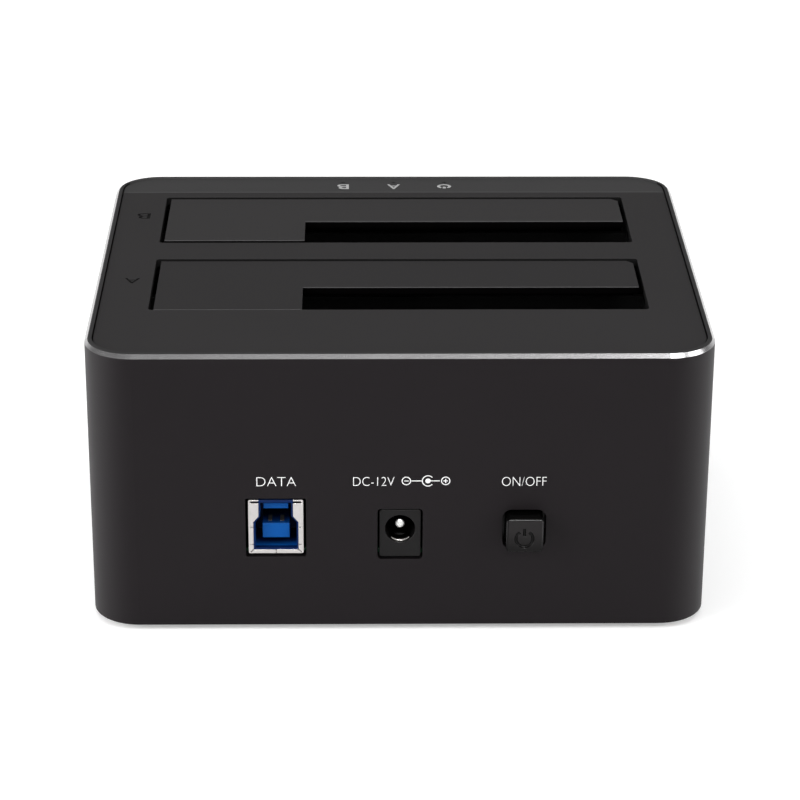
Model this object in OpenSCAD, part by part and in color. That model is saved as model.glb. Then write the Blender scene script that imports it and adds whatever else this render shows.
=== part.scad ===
// Two-bay hard drive docking station: a metal sleeve closed by a top panel and a base,
// with sprung L-shaped doors over the drive wells and the sockets on the back.
// Millimetres. +Z is up, the front faces -Y, and the origin is on the table under the middle
// of the whole, button included.

/* [Body] */
// Width of the sleeve, side to side
body_w = 127.2; // [124:0.2:150]
// Depth of the sleeve, front to back
body_d = 109; // [107:0.5:130]
// Height of the sleeve
sleeve_h = 60.4; // [58:0.2:80]
// Radius of the sleeve's upright corners
corner_r = 10; // [9:0.5:14]
// Wall of the sleeve
sleeve_wall = 2.6; // [2.2:0.1:3]
// Wall left beside the top panel and the base plate
rim_wall = 1.5; // [1.3:0.1:1.8]
// Bright cut edge round the top of the sleeve
rim_chamfer = 0.9; // [0.4:0.1:1.1]

/* [Top panel] */
// Thickness of the top panel
panel_t = 1.8; // [1.6:0.1:2.2]
// How far the panel lies below the sleeve's rim
panel_recess = 0.3; // [0.1:0.1:0.6]
// Gap between the panel and the rim
panel_gap = 0.25; // [0.1:0.05:0.5]
// Length of the sloping strip at the front
slope_len = 12.4; // [11.5:0.1:14]
// How far the strip falls over its length
slope_drop = 0.6; // [0.2:0.1:1]

/* [Drive slots] */
// Width of a slot, for a drive 101.6 wide
slot_w = 103.5; // [102.5:0.1:105]
// Depth of a slot, for a drive 26.1 thick
slot_d = 29.2; // [28.4:0.1:30]
// Strip of panel between the slots
slot_web = 10; // [9.5:0.1:12]
// Panel between the back of the sleeve and the rear slot
slot_rear = 24.7; // [24:0.1:28]
// Corner radius of a slot
slot_r = 0.8; // [0.4:0.1:1.2]
// Width of the open notch for a small drive, 69.9 wide
notch_w = 71.8; // [71:0.1:74]
// Depth of the notch
notch_d = 13; // [10.5:0.1:13.5]

/* [Doors] */
// Thickness of a door's plate
door_t = 1.4; // [1.2:0.1:1.6]
// Height of the ribs under a door
door_rib_h = 0.8; // [0.5:0.1:0.9]
// Width of the ribs under a door
door_rib_w = 1.2; // [0.8:0.1:2]
// How far a shut door lies below the panel
door_sink = 0.2; // [0.1:0.1:0.4]
// Gap along the hinge side of a door
door_front_gap = 0.8; // [0.6:0.1:1.2]
// Gap along the free side of a door
door_rear_gap = 0.6; // [0.5:0.1:1]
// Gap at the notched end of a door
door_notch_gap = 1; // [0.9:0.1:1.8]
// Gap at the wide end of a door
door_wide_gap = 1.1; // [0.8:0.1:1.6]
// Rounding of a door's free edge
door_edge_r = 0.3; // [0.2:0.1:0.9]
// Side of the small slanted cut at a door's hinge corner
door_corner_cut = 1.4; // [0.5:0.1:3]
// How far door B's spring lifts its free edge past level, in degrees
door_b_lift = 0.9; // [0:0.1:0.9]
// Hinge axis, measured forwards from the slot's front edge
hinge_inset = 0.8; // [0.6:0.1:1]
// Hinge axis, measured down from the panel's top
hinge_drop = 3.6; // [3.5:0.1:4]
// Radius of a hinge pin
pin_r = 0.75; // [0.6:0.05:0.8]
// Running clearance of a door on its pin
pin_clear = 0.05; // [0.03:0.01:0.09]
// Radius of a door's knuckles
knuckle_r = 1.5; // [1.4:0.05:1.6]
// Length of a knuckle
knuckle_len = 9; // [6:0.5:10]
// Wire radius of a door spring
spring_wire_r = 0.25; // [0.2:0.01:0.27]
// Turns of a door spring
spring_turns = 5; // [3:1:6]
// Pitch of a door spring
spring_pitch = 1; // [0.95:0.05:1.2]

/* [Wells] */
// Wall of a drive well
well_wall = 1.5; // [1.2:0.1:1.7]
// Floor of a drive well
well_floor = 1.6; // [1.2:0.1:2]
// Room under a well's floor, above the board
well_clear = 1.8; // [1.7:0.1:2.4]
// Room beside the slot at a well's ends
well_side_room = 1.6; // [1.5:0.1:1.8]
// Room in front of and behind the slot
well_room = 0.4; // [0.2:0.1:0.5]
// Length of the bosses that carry the wells
well_boss_h = 6; // [5:0.5:9]
// Radius of the bosses that carry the wells
well_boss_r = 2.3; // [2:0.1:2.4]

/* [Base] */
// How far the feet hold the sleeve off the table
foot_gap = 1.2; // [0.8:0.1:2]
// Radius of a foot
foot_r = 5.5; // [4:0.5:7]
// Depth of a foot's seat in the base
foot_seat = 0.8; // [0.5:0.1:1]
// Thickness of the base plate
base_t = 2.6; // [2.2:0.1:3.2]
// Height of the base plate's inner lip
base_lip_h = 4; // [2:0.5:6]
// Height of the corner posts on the base
post_h = 8; // [7:0.5:9]
// Radius of the corner posts and the panel's columns
post_r = 3.2; // [2.8:0.1:3.3]
// Number of vent slots in the base
vent_count = 9; // [5:2:11]
// Pitch of the vent slots
vent_pitch = 5.5; // [5:0.5:7]

/* [Board] */
// Board's upper face above the sleeve's bottom edge
board_h = 16; // [15:0.2:18]
// Thickness of the board
board_t = 1.6; // [1:0.2:2]
// Width of a drive connector
conn_w = 45; // [44:0.5:46]
// Depth of a drive connector
conn_d = 6.6; // [6:0.1:7]
// Height of a drive connector
conn_h = 10; // [9:0.5:11]
// Drive's edge to the near end of its connector
conn_offset = 3.7; // [3:0.1:5]
// Back of a slot to the middle of the connector
conn_back = 5; // [4.8:0.1:6]

/* [Sockets and button] */
// Spacing of the data socket, power jack and button
port_pitch = 25.3; // [24:0.1:28]
// How far the sockets' faces lie inside the back
port_recess = 0.5; // [0.2:0.1:1]
// Gap round the power jack in its cut-out
port_gap = 0.42; // [0.3:0.02:0.6]
// Width of the data socket's shell
data_w = 11.2; // [11:0.1:12.4]
// Height of the data socket's shell
data_h = 12.05; // [12:0.05:13]
// Gap round the data socket
data_gap = 0.58; // [0.4:0.02:0.8]
// Length of the data socket
data_len = 17; // [15:0.5:18]
// Sheet of the data socket's shell
data_sheet = 0.45; // [0.3:0.05:0.6]
// Width of the power jack
jack_w = 8.4; // [8.2:0.1:9]
// Height of the power jack
jack_h = 10; // [9.8:0.1:11]
// How far the jack's face reaches below the board's top
jack_skirt = 0.6; // [0:0.1:1]
// Length of the power jack
jack_len = 14.4; // [13:0.2:15]
// Radius of the power jack's hole
jack_hole_r = 3.1; // [2.9:0.1:3.3]
// Radius of the power jack's centre pin
jack_pin_r = 1.02; // [0.8:0.02:1.25]
// Height of the jack's axis above the board
jack_axis_h = 5.7; // [5.6:0.1:6.2]
// Width and height of the power button
button_w = 7.6; // [7:0.1:8.5]
// Gap round the power button
button_gap = 0.6; // [0.4:0.1:0.8]
// How far the power button stands out of the back
button_out = 3.2; // [2.6:0.1:4]
// Travel of the power button
button_travel = 2; // [1:0.1:2.2]
// Height of the button's axis above the board
button_axis_h = 5.75; // [5.5:0.05:6.5]
// Spacing of the status lights
light_pitch = 11.7; // [10:0.1:15]
// Status lights, measured from the front of the sleeve
light_front = 4.8; // [4.6:0.1:7]
// Radius of a light guide's rod
light_rod_r = 1.1; // [0.8:0.1:1.3]
// Radius of a light guide's tip
light_tip_r = 0.42; // [0.3:0.02:0.6]

/* [Hidden] */
$fn = 48;

// Overlap that joins the pieces of one solid
lap = 0.02;
// Clearance of a screw or rod that is held fast in its hole
hold_clear = 0.02;
// Gap between faces that only just meet
touch_gap = 0.05;
// Length that carries a cut clear of what it cuts
beyond = 5;

// Heights
sleeve_bottom = foot_gap;
sleeve_top = sleeve_bottom + sleeve_h;
panel_top = sleeve_top - panel_recess;
panel_bottom = panel_top - panel_t;
base_top = sleeve_bottom + base_t;
board_top = sleeve_bottom + board_h;
board_bottom = board_top - board_t;
post_top = base_top + post_h;
well_floor_bottom = board_top + well_clear;
well_floor_top = well_floor_bottom + well_floor;
hinge_z = panel_top - hinge_drop;

// Front to back
body_y = -button_out / 2;
back_y = body_y + body_d / 2;
front_y = body_y - body_d / 2;
crease_y = front_y + slope_len;
slope_angle = atan(slope_drop / slope_len);
inner_w = body_w - 2 * sleeve_wall;
inner_d = body_d - 2 * sleeve_wall;
inner_r = corner_r - sleeve_wall;
rim_w = body_w - 2 * rim_wall;
rim_d = body_d - 2 * rim_wall;
rim_r = corner_r - rim_wall;
port_face_y = back_y - port_recess;

// Bay 0 is A, at the back, and bay 1 is B, at the front
function slot_back_y(bay) = back_y - slot_rear - bay * (slot_d + slot_web);
function slot_front_y(bay) = slot_back_y(bay) - slot_d;
function slot_mid_y(bay) = slot_back_y(bay) - slot_d / 2;
function hinge_y(bay) = slot_front_y(bay) - hinge_inset;

// Corner columns and posts
column_in = 2.6;
column_x = body_w / 2 - corner_r + column_in;
column_y = body_d / 2 - corner_r + column_in;
base_screw_r = 1.2;
base_screw_head_r = 2.3;
base_screw_head_h = 1.6;
base_screw_bite = 8;
base_screw_sink = 0.4;
base_screw_seat = sleeve_bottom + base_screw_sink + base_screw_head_h;
base_screw_len = post_top + base_screw_bite - base_screw_seat;
screw_room = 0.3;
screw_end_room = 1;
corners = [for (sx = [-1, 1], sy = [-1, 1]) [sx, sy]];

// Feet
foot_fit = 0.1;
foot_bevel = 0.6;
foot_inset = 1.5;
foot_x = column_x - post_r - foot_r - foot_inset;
foot_y = column_y - post_r - foot_r - foot_inset;

// Drive wells
well_half_w = slot_w / 2 + well_side_room;
well_outer_half_w = well_half_w + well_wall;
well_ear_l = 6.4;
well_ear_t = 2.5;
well_boss_gap = 0.35;
well_boss_x = well_outer_half_w + well_boss_gap + well_boss_r;
well_boss_offsets = [-5, 9];
well_screw_r = 1;
well_screw_head_r = 1.9;
well_screw_head_h = 1.3;
well_screw_bite = 5;
well_screw_len = well_ear_t + well_screw_bite;
well_screw_room = 0.15;
well_rib_w = 2;
well_rib_offsets = [-6, 8];
hinge_bay = 5;
hinge_bay_drop = 5.4;
collar_t = 1.2;
collar_h = 2;
conn_room = 0.5;

// Drive connectors
drive_w = 101.6;
conn_x = -drive_w / 2 + conn_offset + conn_w / 2;
function conn_y(bay) = slot_back_y(bay) - conn_back;
contact_pitch = 1.27;
contact_w = 0.7;
contact_t = 0.3;
contact_stand = 6;
conn_slot_t = 2.2;
conn_slot_depth = 7;
conn_key_l = 1.1;
conn_key_t = 1.9;
conn_wall = 2;
conn_end_gap = 0.9;
data_count = 7;
power_count = 15;
guide_w = 3.2;
guide_tip = 1.6;
guide_h = 2.2;
data_slot_w = data_count * contact_pitch + 2 * conn_end_gap;
power_slot_w = power_count * contact_pitch + 2 * conn_end_gap;
conn_span = data_slot_w + conn_wall + power_slot_w;
data_slot_x = conn_span / 2 - data_slot_w / 2;
power_slot_x = -conn_span / 2 + power_slot_w / 2;

// Doors, measured from the hinge axis
door_top = hinge_drop - door_sink;
door_under = door_top - door_t;
door_rib_under = door_under - door_rib_h;
door_front = hinge_inset + door_front_gap;
door_wide_end = hinge_inset + slot_d - door_rear_gap;
door_narrow_end = hinge_inset + slot_d - notch_d;
door_x0 = -slot_w / 2 + door_notch_gap;
door_x1 = slot_w / 2 - door_wide_gap;
door_step_x = -slot_w / 2 + notch_w;
panel_under = hinge_drop - panel_t;
door_lift = [0, door_b_lift];
knuckle_end_gap = 0.6;
knuckle_in = knuckle_end_gap + knuckle_len / 2;
knuckle_spots = [door_x0 + knuckle_in, 0, door_x1 - knuckle_in];
arm_t = 1;
arm_l = 1.2;
arm_back = door_front + arm_l;
arm_low_angle = -70;
arm_high_angle = 35;
door_rib_notch_in = 16.35;
door_rib_pitch = 16;
door_rib_step_in = 9.95;
door_rib_wide_in = 6.65;
door_rib_spots = [door_x0 + door_rib_notch_in, door_x0 + door_rib_notch_in + door_rib_pitch,
    door_step_x + door_rib_step_in, door_x1 - door_rib_wide_in];
door_rib_in = 1;
door_rib_gap = 1;
stop_reach = 1.15;
stop_inner = 1.6;
stop_front = 2.2;
stop_back = 4.6;
stop_under = 0.4;
lug_t = 2.5;
lug_r = 2;
lug_gap = 0.45;
lug_x = well_outer_half_w + lug_gap + lug_t / 2;
pin_half_len = lug_x + lug_t / 2;
spring_bore_gap = 0.2;
spring_r = pin_r + spring_bore_gap + spring_wire_r;
spring_from_knuckle = 3;
spring_x = knuckle_len / 2 + spring_from_knuckle;
spring_leg_clear = 0.8;
spring_fixed_leg = slot_web - hinge_inset - well_room - well_wall - spring_leg_clear;
spring_door_leg = 7;

// Sockets and button
data_x = port_pitch;
data_window_r = 0.4;
jack_window_r = 0.8;
jack_x = 0;
button_x = -port_pitch;
data_lift = 0.2;
data_bottom = board_top + data_lift;
data_foot_in = 3;
data_bend_r = 0.3;
data_liner = 0.35;
data_roof = 0.6;
data_mouth_w = 9.2;
data_neck_w = 7.05;
data_mouth_bottom = 0.85;
data_shoulder_low = 7.05;
data_shoulder_high = 8.35;
data_cavity = 9.5;
data_top_notch = 3;
data_block_in = 4;
data_slit = 0.16;
data_side_slits = [5.9, 2];
data_slit_l = 1.3;
data_corner_slit_l = 1.8;
data_top_slit = 0.46;
data_top_strip = 0.31;
data_top_end = 0.3;
tongue_w = 5.5;
tongue_bottom = 2.9;
tongue_h = 3.25;
tongue_in = 1.5;
upper_tongue_w = 5.1;
upper_tongue_bottom = 9.5;
upper_tongue_h = 1.15;
tongue_contact_t = 0.15;
tongue_contact_in = 1;
tongue_contact_l = 2.6;
jack_front_len = 3.6;
jack_hole_depth = 10.5;
jack_pin_back = 1.8;
jack_skirt_gap = 0.3;
jack_face_h = jack_h + jack_skirt;
jack_face_z = board_top + (jack_h - jack_skirt) / 2;
jack_z = board_top + jack_axis_h;
button_z = board_top + button_axis_h;
button_corner_r = 1.2;
button_edge_r = 0.7;
button_flange = 1;
button_flange_t = 1.2;
button_flange_gap = 0.3;
button_len = 11.8;
button_back_y = back_y + button_out - button_len;
switch_w = 8.6;
switch_h = 9.8;
switch_len = 8.2;
switch_gap = 4.4;
switch_front_y = button_back_y - switch_gap;
stem_w = 3;
stem_fit = 0.12;
stem_hole = stem_w + 2 * stem_fit;
stem_end_room = 0.5;
stem_in_button = 4;
stem_in_switch = 5;
stem_collar_t = 0.8;
stem_collar_w = 4.6;
button_spring_r = 2.5;
button_wire_r = 0.17;
button_spring_turns = 4;

// Board and what stands on it
board_side_gap = 3.7;
board_end_gap = 0.6;
board_half_w = inner_w / 2 - board_side_gap;
board_half_d = inner_d / 2 - board_end_gap;
board_notch_gap = 1;
board_screw_x = 45;
board_screw_in = 5.4;
board_screw_r = 1;
board_screw_head_r = 2;
board_screw_head_h = 1.5;
board_screw_bite = 6;
board_screw_len = board_t + board_screw_bite;
board_screw_hole_z = board_top - board_screw_len - screw_end_room;
board_screw_y = inner_d / 2 - board_screw_in;
board_post_r = 2.8;
led_w = 1.6;
led_h = 0.8;
led_gap = 0.3;
light_y = front_y + light_front;
light_surface_z = panel_top - slope_drop * (crease_y - light_y) / slope_len;
light_tip_gap = 0.08;
light_web_t = 1.4;
light_web_h = 5;
light_web_drop = 14;
chip_h = 1.4;
controller_in = 23;
controller_x = board_half_w - controller_in;
regulator_xs = [-16, 16];
coil_switch_side_in = 19;
coil_data_side_in = 20;
coil_xs = [coil_switch_side_in - board_half_w, board_half_w - coil_data_side_in];
capacitor_xs = [-13, 11.5];
crystal_x = -13;
rear_parts_gap = 6;
rear_parts_y = slot_back_y(0) + well_room + well_wall + rear_parts_gap;
crystal_gap = 8;

// Sketch in X and Z drawn out along Y, centred
module along_y(len) {
    rotate([90, 0, 0]) linear_extrude(len, center = true) children();
}

// Sketch in Y and Z drawn out along X, centred
module along_x(len) {
    rotate([90, 0, 90]) linear_extrude(len, center = true) children();
}

module rounded_rect(w, d, r) {
    square([w - 2 * r, d], center = true);
    square([w, d - 2 * r], center = true);
    for (c = corners) translate([c[0] * (w / 2 - r), c[1] * (d / 2 - r)]) circle(r);
}

// Body under a flat top whose sides and far end are cut at 45 degrees; its end lies at +Y
module cut_edge_body(reach) {
    flat = body_w / 2 - rim_chamfer;
    side_x = body_w / 2 - corner_r;
    corner_y = reach - corner_r;
    spread = 2 * rim_chamfer + beyond;
    back = body_d + beyond;
    low = sleeve_h + 4 * beyond;
    translate([0, (corner_y - back) / 2, 0]) along_y(corner_y + back)
        polygon([[-flat, 0], [flat, 0], [flat + spread, -spread], [-flat - spread, -spread]]);
    along_x(2 * side_x) polygon([[-back, 0], [reach - rim_chamfer, 0],
        [reach - rim_chamfer + spread, -spread], [-back, -spread]]);
    for (s = [-1, 1]) translate([s * side_x, corner_y, -spread])
        cylinder(h = spread, r1 = corner_r - rim_chamfer + spread, r2 = corner_r - rim_chamfer);
    translate([-flat - spread, -back, -low])
        cube([2 * (flat + spread), back + reach + spread, low - spread + lap]);
}

// Everything above the panel's sloping strip
module above_slope(z) {
    translate([0, crease_y, z]) rotate([slope_angle, 0, 0]) translate([-body_w, -body_d, 0])
        cube([2 * body_w, body_d, beyond]);
}

module screw(r, len, head_r, head_h) {
    cross_w = head_r / 3;
    cross_l = 1.2 * head_r;
    difference() {
        union() {
            translate([0, 0, -head_h / 2]) cylinder(h = len + head_h / 2, r = r);
            translate([0, 0, -head_h]) cylinder(h = head_h, r = head_r);
        }
        for (turn = [0, 90]) rotate([0, 0, turn]) translate([-cross_l / 2, -cross_w / 2, -head_h - lap])
            cube([cross_l, cross_w, head_h / 2]);
    }
}

module port_window(x, z, w, h, gap, r) {
    translate([x, back_y - sleeve_wall / 2, z]) along_y(sleeve_wall + 2 * beyond)
        rounded_rect(w + 2 * gap, h + 2 * gap, r);
}

module sleeve() {
    color([0.13, 0.13, 0.14]) difference() {
        intersection() {
            translate([0, body_y, sleeve_bottom]) linear_extrude(sleeve_h)
                rounded_rect(body_w, body_d, corner_r);
            translate([0, crease_y, sleeve_top]) cut_edge_body(back_y - crease_y);
            translate([0, crease_y, sleeve_top]) rotate([slope_angle, 0, 0]) mirror([0, 1, 0])
                cut_edge_body(norm([slope_len, slope_drop]));
        }
        translate([0, body_y, sleeve_bottom - beyond]) linear_extrude(sleeve_h + 2 * beyond)
            rounded_rect(inner_w, inner_d, inner_r);
        for (z = [panel_bottom, base_top - sleeve_h]) translate([0, body_y, z])
            linear_extrude(sleeve_h) rounded_rect(rim_w, rim_d, rim_r);
        port_window(data_x, data_bottom + data_h / 2, data_w, data_h, data_gap, data_window_r);
        port_window(jack_x, jack_face_z, jack_w, jack_face_h, port_gap, jack_window_r);
        port_window(button_x, button_z, button_w, button_w, button_gap, button_corner_r + button_gap);
    }
}

module slot_cut(bay) {
    translate([0, slot_mid_y(bay), panel_bottom - beyond]) linear_extrude(panel_t + 2 * beyond)
        rounded_rect(slot_w, slot_d, slot_r);
}

module hinge_lug(side, bay) {
    translate([side * lug_x, hinge_y(bay), hinge_z]) along_x(lug_t) difference() {
        union() {
            circle(lug_r);
            translate([-lug_r, 0]) square([2 * lug_r, panel_under + lap]);
        }
        circle(pin_r + hold_clear);
    }
}

module panel_columns() {
    for (c = corners) translate([c[0] * column_x, body_y + c[1] * column_y, 0]) difference() {
        translate([0, 0, post_top]) cylinder(h = panel_bottom - post_top + lap, r = post_r);
        translate([0, 0, post_top - lap])
            cylinder(h = base_screw_bite + screw_end_room, r = base_screw_r + hold_clear);
    }
}

module well_bosses(bay) {
    for (s = [-1, 1], y = well_boss_offsets)
        translate([s * well_boss_x, slot_mid_y(bay) + y, panel_bottom - well_boss_h]) difference() {
            cylinder(h = well_boss_h + lap, r = well_boss_r);
            translate([0, 0, -lap]) cylinder(h = well_boss_h, r = well_screw_r + hold_clear);
        }
}

module top_panel() {
    color([0.16, 0.16, 0.165]) {
        difference() {
            translate([0, body_y, panel_bottom]) linear_extrude(panel_t)
                rounded_rect(rim_w - 2 * panel_gap, rim_d - 2 * panel_gap, rim_r - panel_gap);
            above_slope(panel_top);
            for (bay = [0, 1]) slot_cut(bay);
            for (i = [-1, 0, 1]) translate([i * light_pitch, light_y, panel_bottom - beyond])
                cylinder(h = panel_t + 2 * beyond, r = light_tip_r + touch_gap);
        }
        panel_columns();
        for (bay = [0, 1]) {
            well_bosses(bay);
            for (s = [-1, 1]) hinge_lug(s, bay);
        }
    }
}

module base_plate() {
    lip_out = 0.25;
    lip_t = 1.4;
    vent_w = 2.2;
    vent_l = 26;
    color([0.1, 0.1, 0.1]) translate([0, body_y, 0]) difference() {
        union() {
            translate([0, 0, sleeve_bottom]) linear_extrude(base_t)
                rounded_rect(rim_w - 2 * panel_gap, rim_d - 2 * panel_gap, rim_r - panel_gap);
            translate([0, 0, base_top - lap]) linear_extrude(base_lip_h) difference() {
                rounded_rect(inner_w - 2 * lip_out, inner_d - 2 * lip_out, inner_r - lip_out);
                rounded_rect(inner_w - 2 * lip_out - 2 * lip_t, inner_d - 2 * lip_out - 2 * lip_t,
                    inner_r - lip_out - lip_t);
            }
            for (c = corners) {
                translate([c[0] * column_x, c[1] * column_y, base_top - lap])
                    cylinder(h = post_h + lap, r = post_r);
                translate([c[0] * board_screw_x, c[1] * board_screw_y, base_top - lap])
                    cylinder(h = board_bottom - base_top + lap, r = board_post_r);
            }
        }
        for (c = corners) {
            translate([c[0] * column_x, c[1] * column_y, sleeve_bottom - lap]) {
                cylinder(h = post_h + base_t + beyond, r = base_screw_r + screw_room);
                cylinder(h = base_screw_seat - sleeve_bottom + lap, r = base_screw_head_r + screw_room);
            }
            translate([c[0] * board_screw_x, c[1] * board_screw_y, board_screw_hole_z])
                cylinder(h = board_screw_len + beyond, r = board_screw_r + hold_clear);
            translate([c[0] * foot_x, c[1] * foot_y, sleeve_bottom - lap])
                cylinder(h = foot_seat + lap, r = foot_r + foot_fit);
        }
        for (i = [0 : vent_count - 1])
            translate([(i - (vent_count - 1) / 2) * vent_pitch, 0, sleeve_bottom - beyond])
                linear_extrude(base_t + 2 * beyond) rounded_rect(vent_w, vent_l, vent_w / 2 - lap);
    }
}

module rubber_feet() {
    color([0.06, 0.06, 0.06]) for (c = corners) translate([c[0] * foot_x, body_y + c[1] * foot_y, 0])
        rotate_extrude() polygon([[0, 0], [foot_r - foot_bevel, 0], [foot_r, foot_bevel],
            [foot_r, foot_gap + foot_seat], [0, foot_gap + foot_seat]]);
}

module base_screws() {
    color("dimgray") for (c = corners)
        translate([c[0] * column_x, body_y + c[1] * column_y, base_screw_seat])
            screw(base_screw_r, base_screw_len, base_screw_head_r, base_screw_head_h);
}

module drive_well(bay) {
    inner_l = slot_d + 2 * well_room;
    outer_l = inner_l + 2 * well_wall;
    ear_z = panel_bottom - well_boss_h - well_ear_t;
    ear_reach = well_boss_x + well_boss_r - well_outer_half_w;
    window_w = conn_w + 2 * conn_room;
    window_d = conn_d + 2 * conn_room;
    rib_top = hinge_z - hinge_bay_drop;
    color([0.09, 0.09, 0.09]) translate([0, slot_mid_y(bay), 0]) difference() {
        union() {
            difference() {
                translate([-well_outer_half_w, -outer_l / 2, well_floor_bottom])
                    cube([2 * well_outer_half_w, outer_l, panel_bottom - well_floor_bottom]);
                translate([-well_half_w, -inner_l / 2, well_floor_top])
                    cube([2 * well_half_w, inner_l, sleeve_h]);
            }
            for (s = [-1, 1], y = well_rib_offsets)
                translate([s * (slot_w / 2 + well_side_room / 2 + lap), y, (well_floor_top + rib_top) / 2])
                    cube([well_side_room, well_rib_w, rib_top - well_floor_top + 2 * lap], center = true);
            translate([conn_x, conn_y(bay) - slot_mid_y(bay), well_floor_top - lap])
                linear_extrude(collar_h)
                    square([window_w + 2 * collar_t, window_d + 2 * collar_t], center = true);
            for (s = [-1, 1], y = well_boss_offsets)
                translate([s * (well_outer_half_w + ear_reach / 2 - lap), y, ear_z + well_ear_t / 2])
                    cube([ear_reach, well_ear_l, well_ear_t], center = true);
        }
        translate([conn_x, conn_y(bay) - slot_mid_y(bay), well_floor_bottom - beyond])
            linear_extrude(well_floor + collar_h + 2 * beyond)
                square([window_w, window_d], center = true);
        translate([-body_w / 2, -outer_l / 2 - beyond, hinge_z - hinge_bay_drop])
            cube([body_w, outer_l / 2 - slot_d / 2 + beyond + hinge_bay, sleeve_h]);
        for (s = [-1, 1], y = well_boss_offsets) translate([s * well_boss_x, y, ear_z - lap])
            cylinder(h = well_ear_t + 2 * lap, r = well_screw_r + well_screw_room);
    }
}

module drive_well_a() { drive_well(0); }
module drive_well_b() { drive_well(1); }

module well_screws() {
    color("dimgray") for (bay = [0, 1], s = [-1, 1], y = well_boss_offsets)
        translate([s * well_boss_x, slot_mid_y(bay) + y, panel_bottom - well_boss_h - well_ear_t])
            screw(well_screw_r, well_screw_len, well_screw_head_r, well_screw_head_h);
}

// Side view of a door's plate, with its free edge rounded
module door_profile(end) {
    translate([door_front, door_under]) square([end - door_edge_r - door_front, door_t]);
    translate([end - 2 * door_edge_r, door_under]) square([2 * door_edge_r, door_t - door_edge_r]);
    translate([end - door_edge_r, door_top - door_edge_r]) circle(door_edge_r);
}

// Side view of the arm between a knuckle and the plate
module knuckle_profile() {
    circle(knuckle_r);
    polygon([[0, 0], knuckle_r * [cos(arm_low_angle), sin(arm_low_angle)], [arm_back, door_under - arm_t],
        [arm_back, door_under + lap], [door_front, door_under + lap],
        knuckle_r * [cos(arm_high_angle), sin(arm_high_angle)]]);
}

module door(bay) {
    wide_w = door_x1 - door_step_x;
    narrow_w = door_step_x - door_x0;
    wide_x = door_step_x + wide_w / 2;
    narrow_x = door_x0 + narrow_w / 2;
    rib_z = (door_rib_under + door_under) / 2;
    rib_h = door_rib_h + 2 * lap;
    rib_start = stop_back + door_rib_gap;
    color([0.17, 0.17, 0.175]) translate([0, hinge_y(bay), hinge_z]) rotate([door_lift[bay], 0, 0])
    difference() {
        union() {
            translate([narrow_x, 0, 0]) along_x(narrow_w + lap) door_profile(door_narrow_end);
            translate([wide_x, 0, 0]) along_x(wide_w) door_profile(door_wide_end);
            for (x = knuckle_spots) translate([x, 0, 0]) along_x(knuckle_len) knuckle_profile();
            for (x = door_rib_spots) {
                end = (x < door_step_x ? door_narrow_end : door_wide_end) - door_rib_in;
                translate([x, (rib_start + end) / 2, rib_z])
                    cube([door_rib_w, end - rib_start, rib_h], center = true);
            }
            translate([narrow_x, door_narrow_end - door_rib_in - door_rib_w / 2, rib_z])
                cube([narrow_w - 2 * door_rib_in, door_rib_w, rib_h], center = true);
            translate([wide_x, door_wide_end - door_rib_in - door_rib_w / 2, rib_z])
                cube([wide_w - 2 * door_rib_in, door_rib_w, rib_h], center = true);
            for (end = [[door_x0, -1], [door_x1, 1]]) door_stop(end[0], end[1], door_lift[bay]);
        }
        along_x(slot_w) circle(pin_r + pin_clear);
        translate([door_x0, door_front, door_under - lap]) linear_extrude(door_t + beyond)
            polygon([[-beyond, -beyond], [door_corner_cut + beyond, -beyond],
                [-beyond, door_corner_cut + beyond]]);
    }
}

// Foot that reaches under the panel beside the slot and stops the door when it is shut
module door_stop(x, side, lift) {
    tip = slot_w / 2 + stop_reach;
    root = abs(x) - stop_inner;
    stop_top = panel_under - touch_gap - stop_back * tan(lift);
    translate([side * (root + tip) / 2, (stop_front + stop_back) / 2, (stop_under + stop_top) / 2])
        cube([tip - root, stop_back - stop_front, stop_top - stop_under], center = true);
    translate([side * (root + abs(x)) / 2, (stop_front + stop_back) / 2, (stop_under + door_under) / 2])
        cube([abs(x) - root, stop_back - stop_front, door_under - stop_under + 2 * lap], center = true);
}

module door_a() { door(0); }
module door_b() { door(1); }

module door_pin(bay) {
    color("silver") translate([0, hinge_y(bay), hinge_z]) along_x(2 * pin_half_len) circle(pin_r);
}

module door_pin_a() { door_pin(0); }
module door_pin_b() { door_pin(1); }

// Round tube along a list of points; ref is a direction that the path never runs along.
// It prints the least gap between points half a turn or more apart.
module tube(path, r, ref, turn_steps, sides = 6) {
    last = len(path) - 1;
    gaps = [for (i = [0 : last - turn_steps / 2], j = [i + turn_steps / 2 : last]) norm(path[i] - path[j])];
    echo(least_gap = min(gaps) - 2 * r);
    function unit(v) = v / norm(v);
    function run(i) = unit(path[min(i + 1, last)] - path[max(i - 1, 0)]);
    function ring(i) = let (n = unit(cross(run(i), ref)), b = cross(run(i), n))
        [for (k = [0 : sides - 1]) path[i] + r * (cos(360 * k / sides) * n + sin(360 * k / sides) * b)];
    points = concat([for (i = [0 : last]) each ring(i)], [path[0], path[last]]);
    first_cap = (last + 1) * sides;
    walls = [for (i = [0 : last - 1], k = [0 : sides - 1], half = [0, 1]) let (
        a = i * sides + k, b = i * sides + (k + 1) % sides)
        half == 0 ? [a, b, b + sides] : [a, b + sides, a + sides]];
    caps = [for (k = [0 : sides - 1], end = [0, 1]) let (k2 = (k + 1) % sides)
        end == 0 ? [first_cap, k2, k] : [first_cap + 1, last * sides + k, last * sides + k2]];
    polyhedron(points, concat(walls, caps));
}

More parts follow.
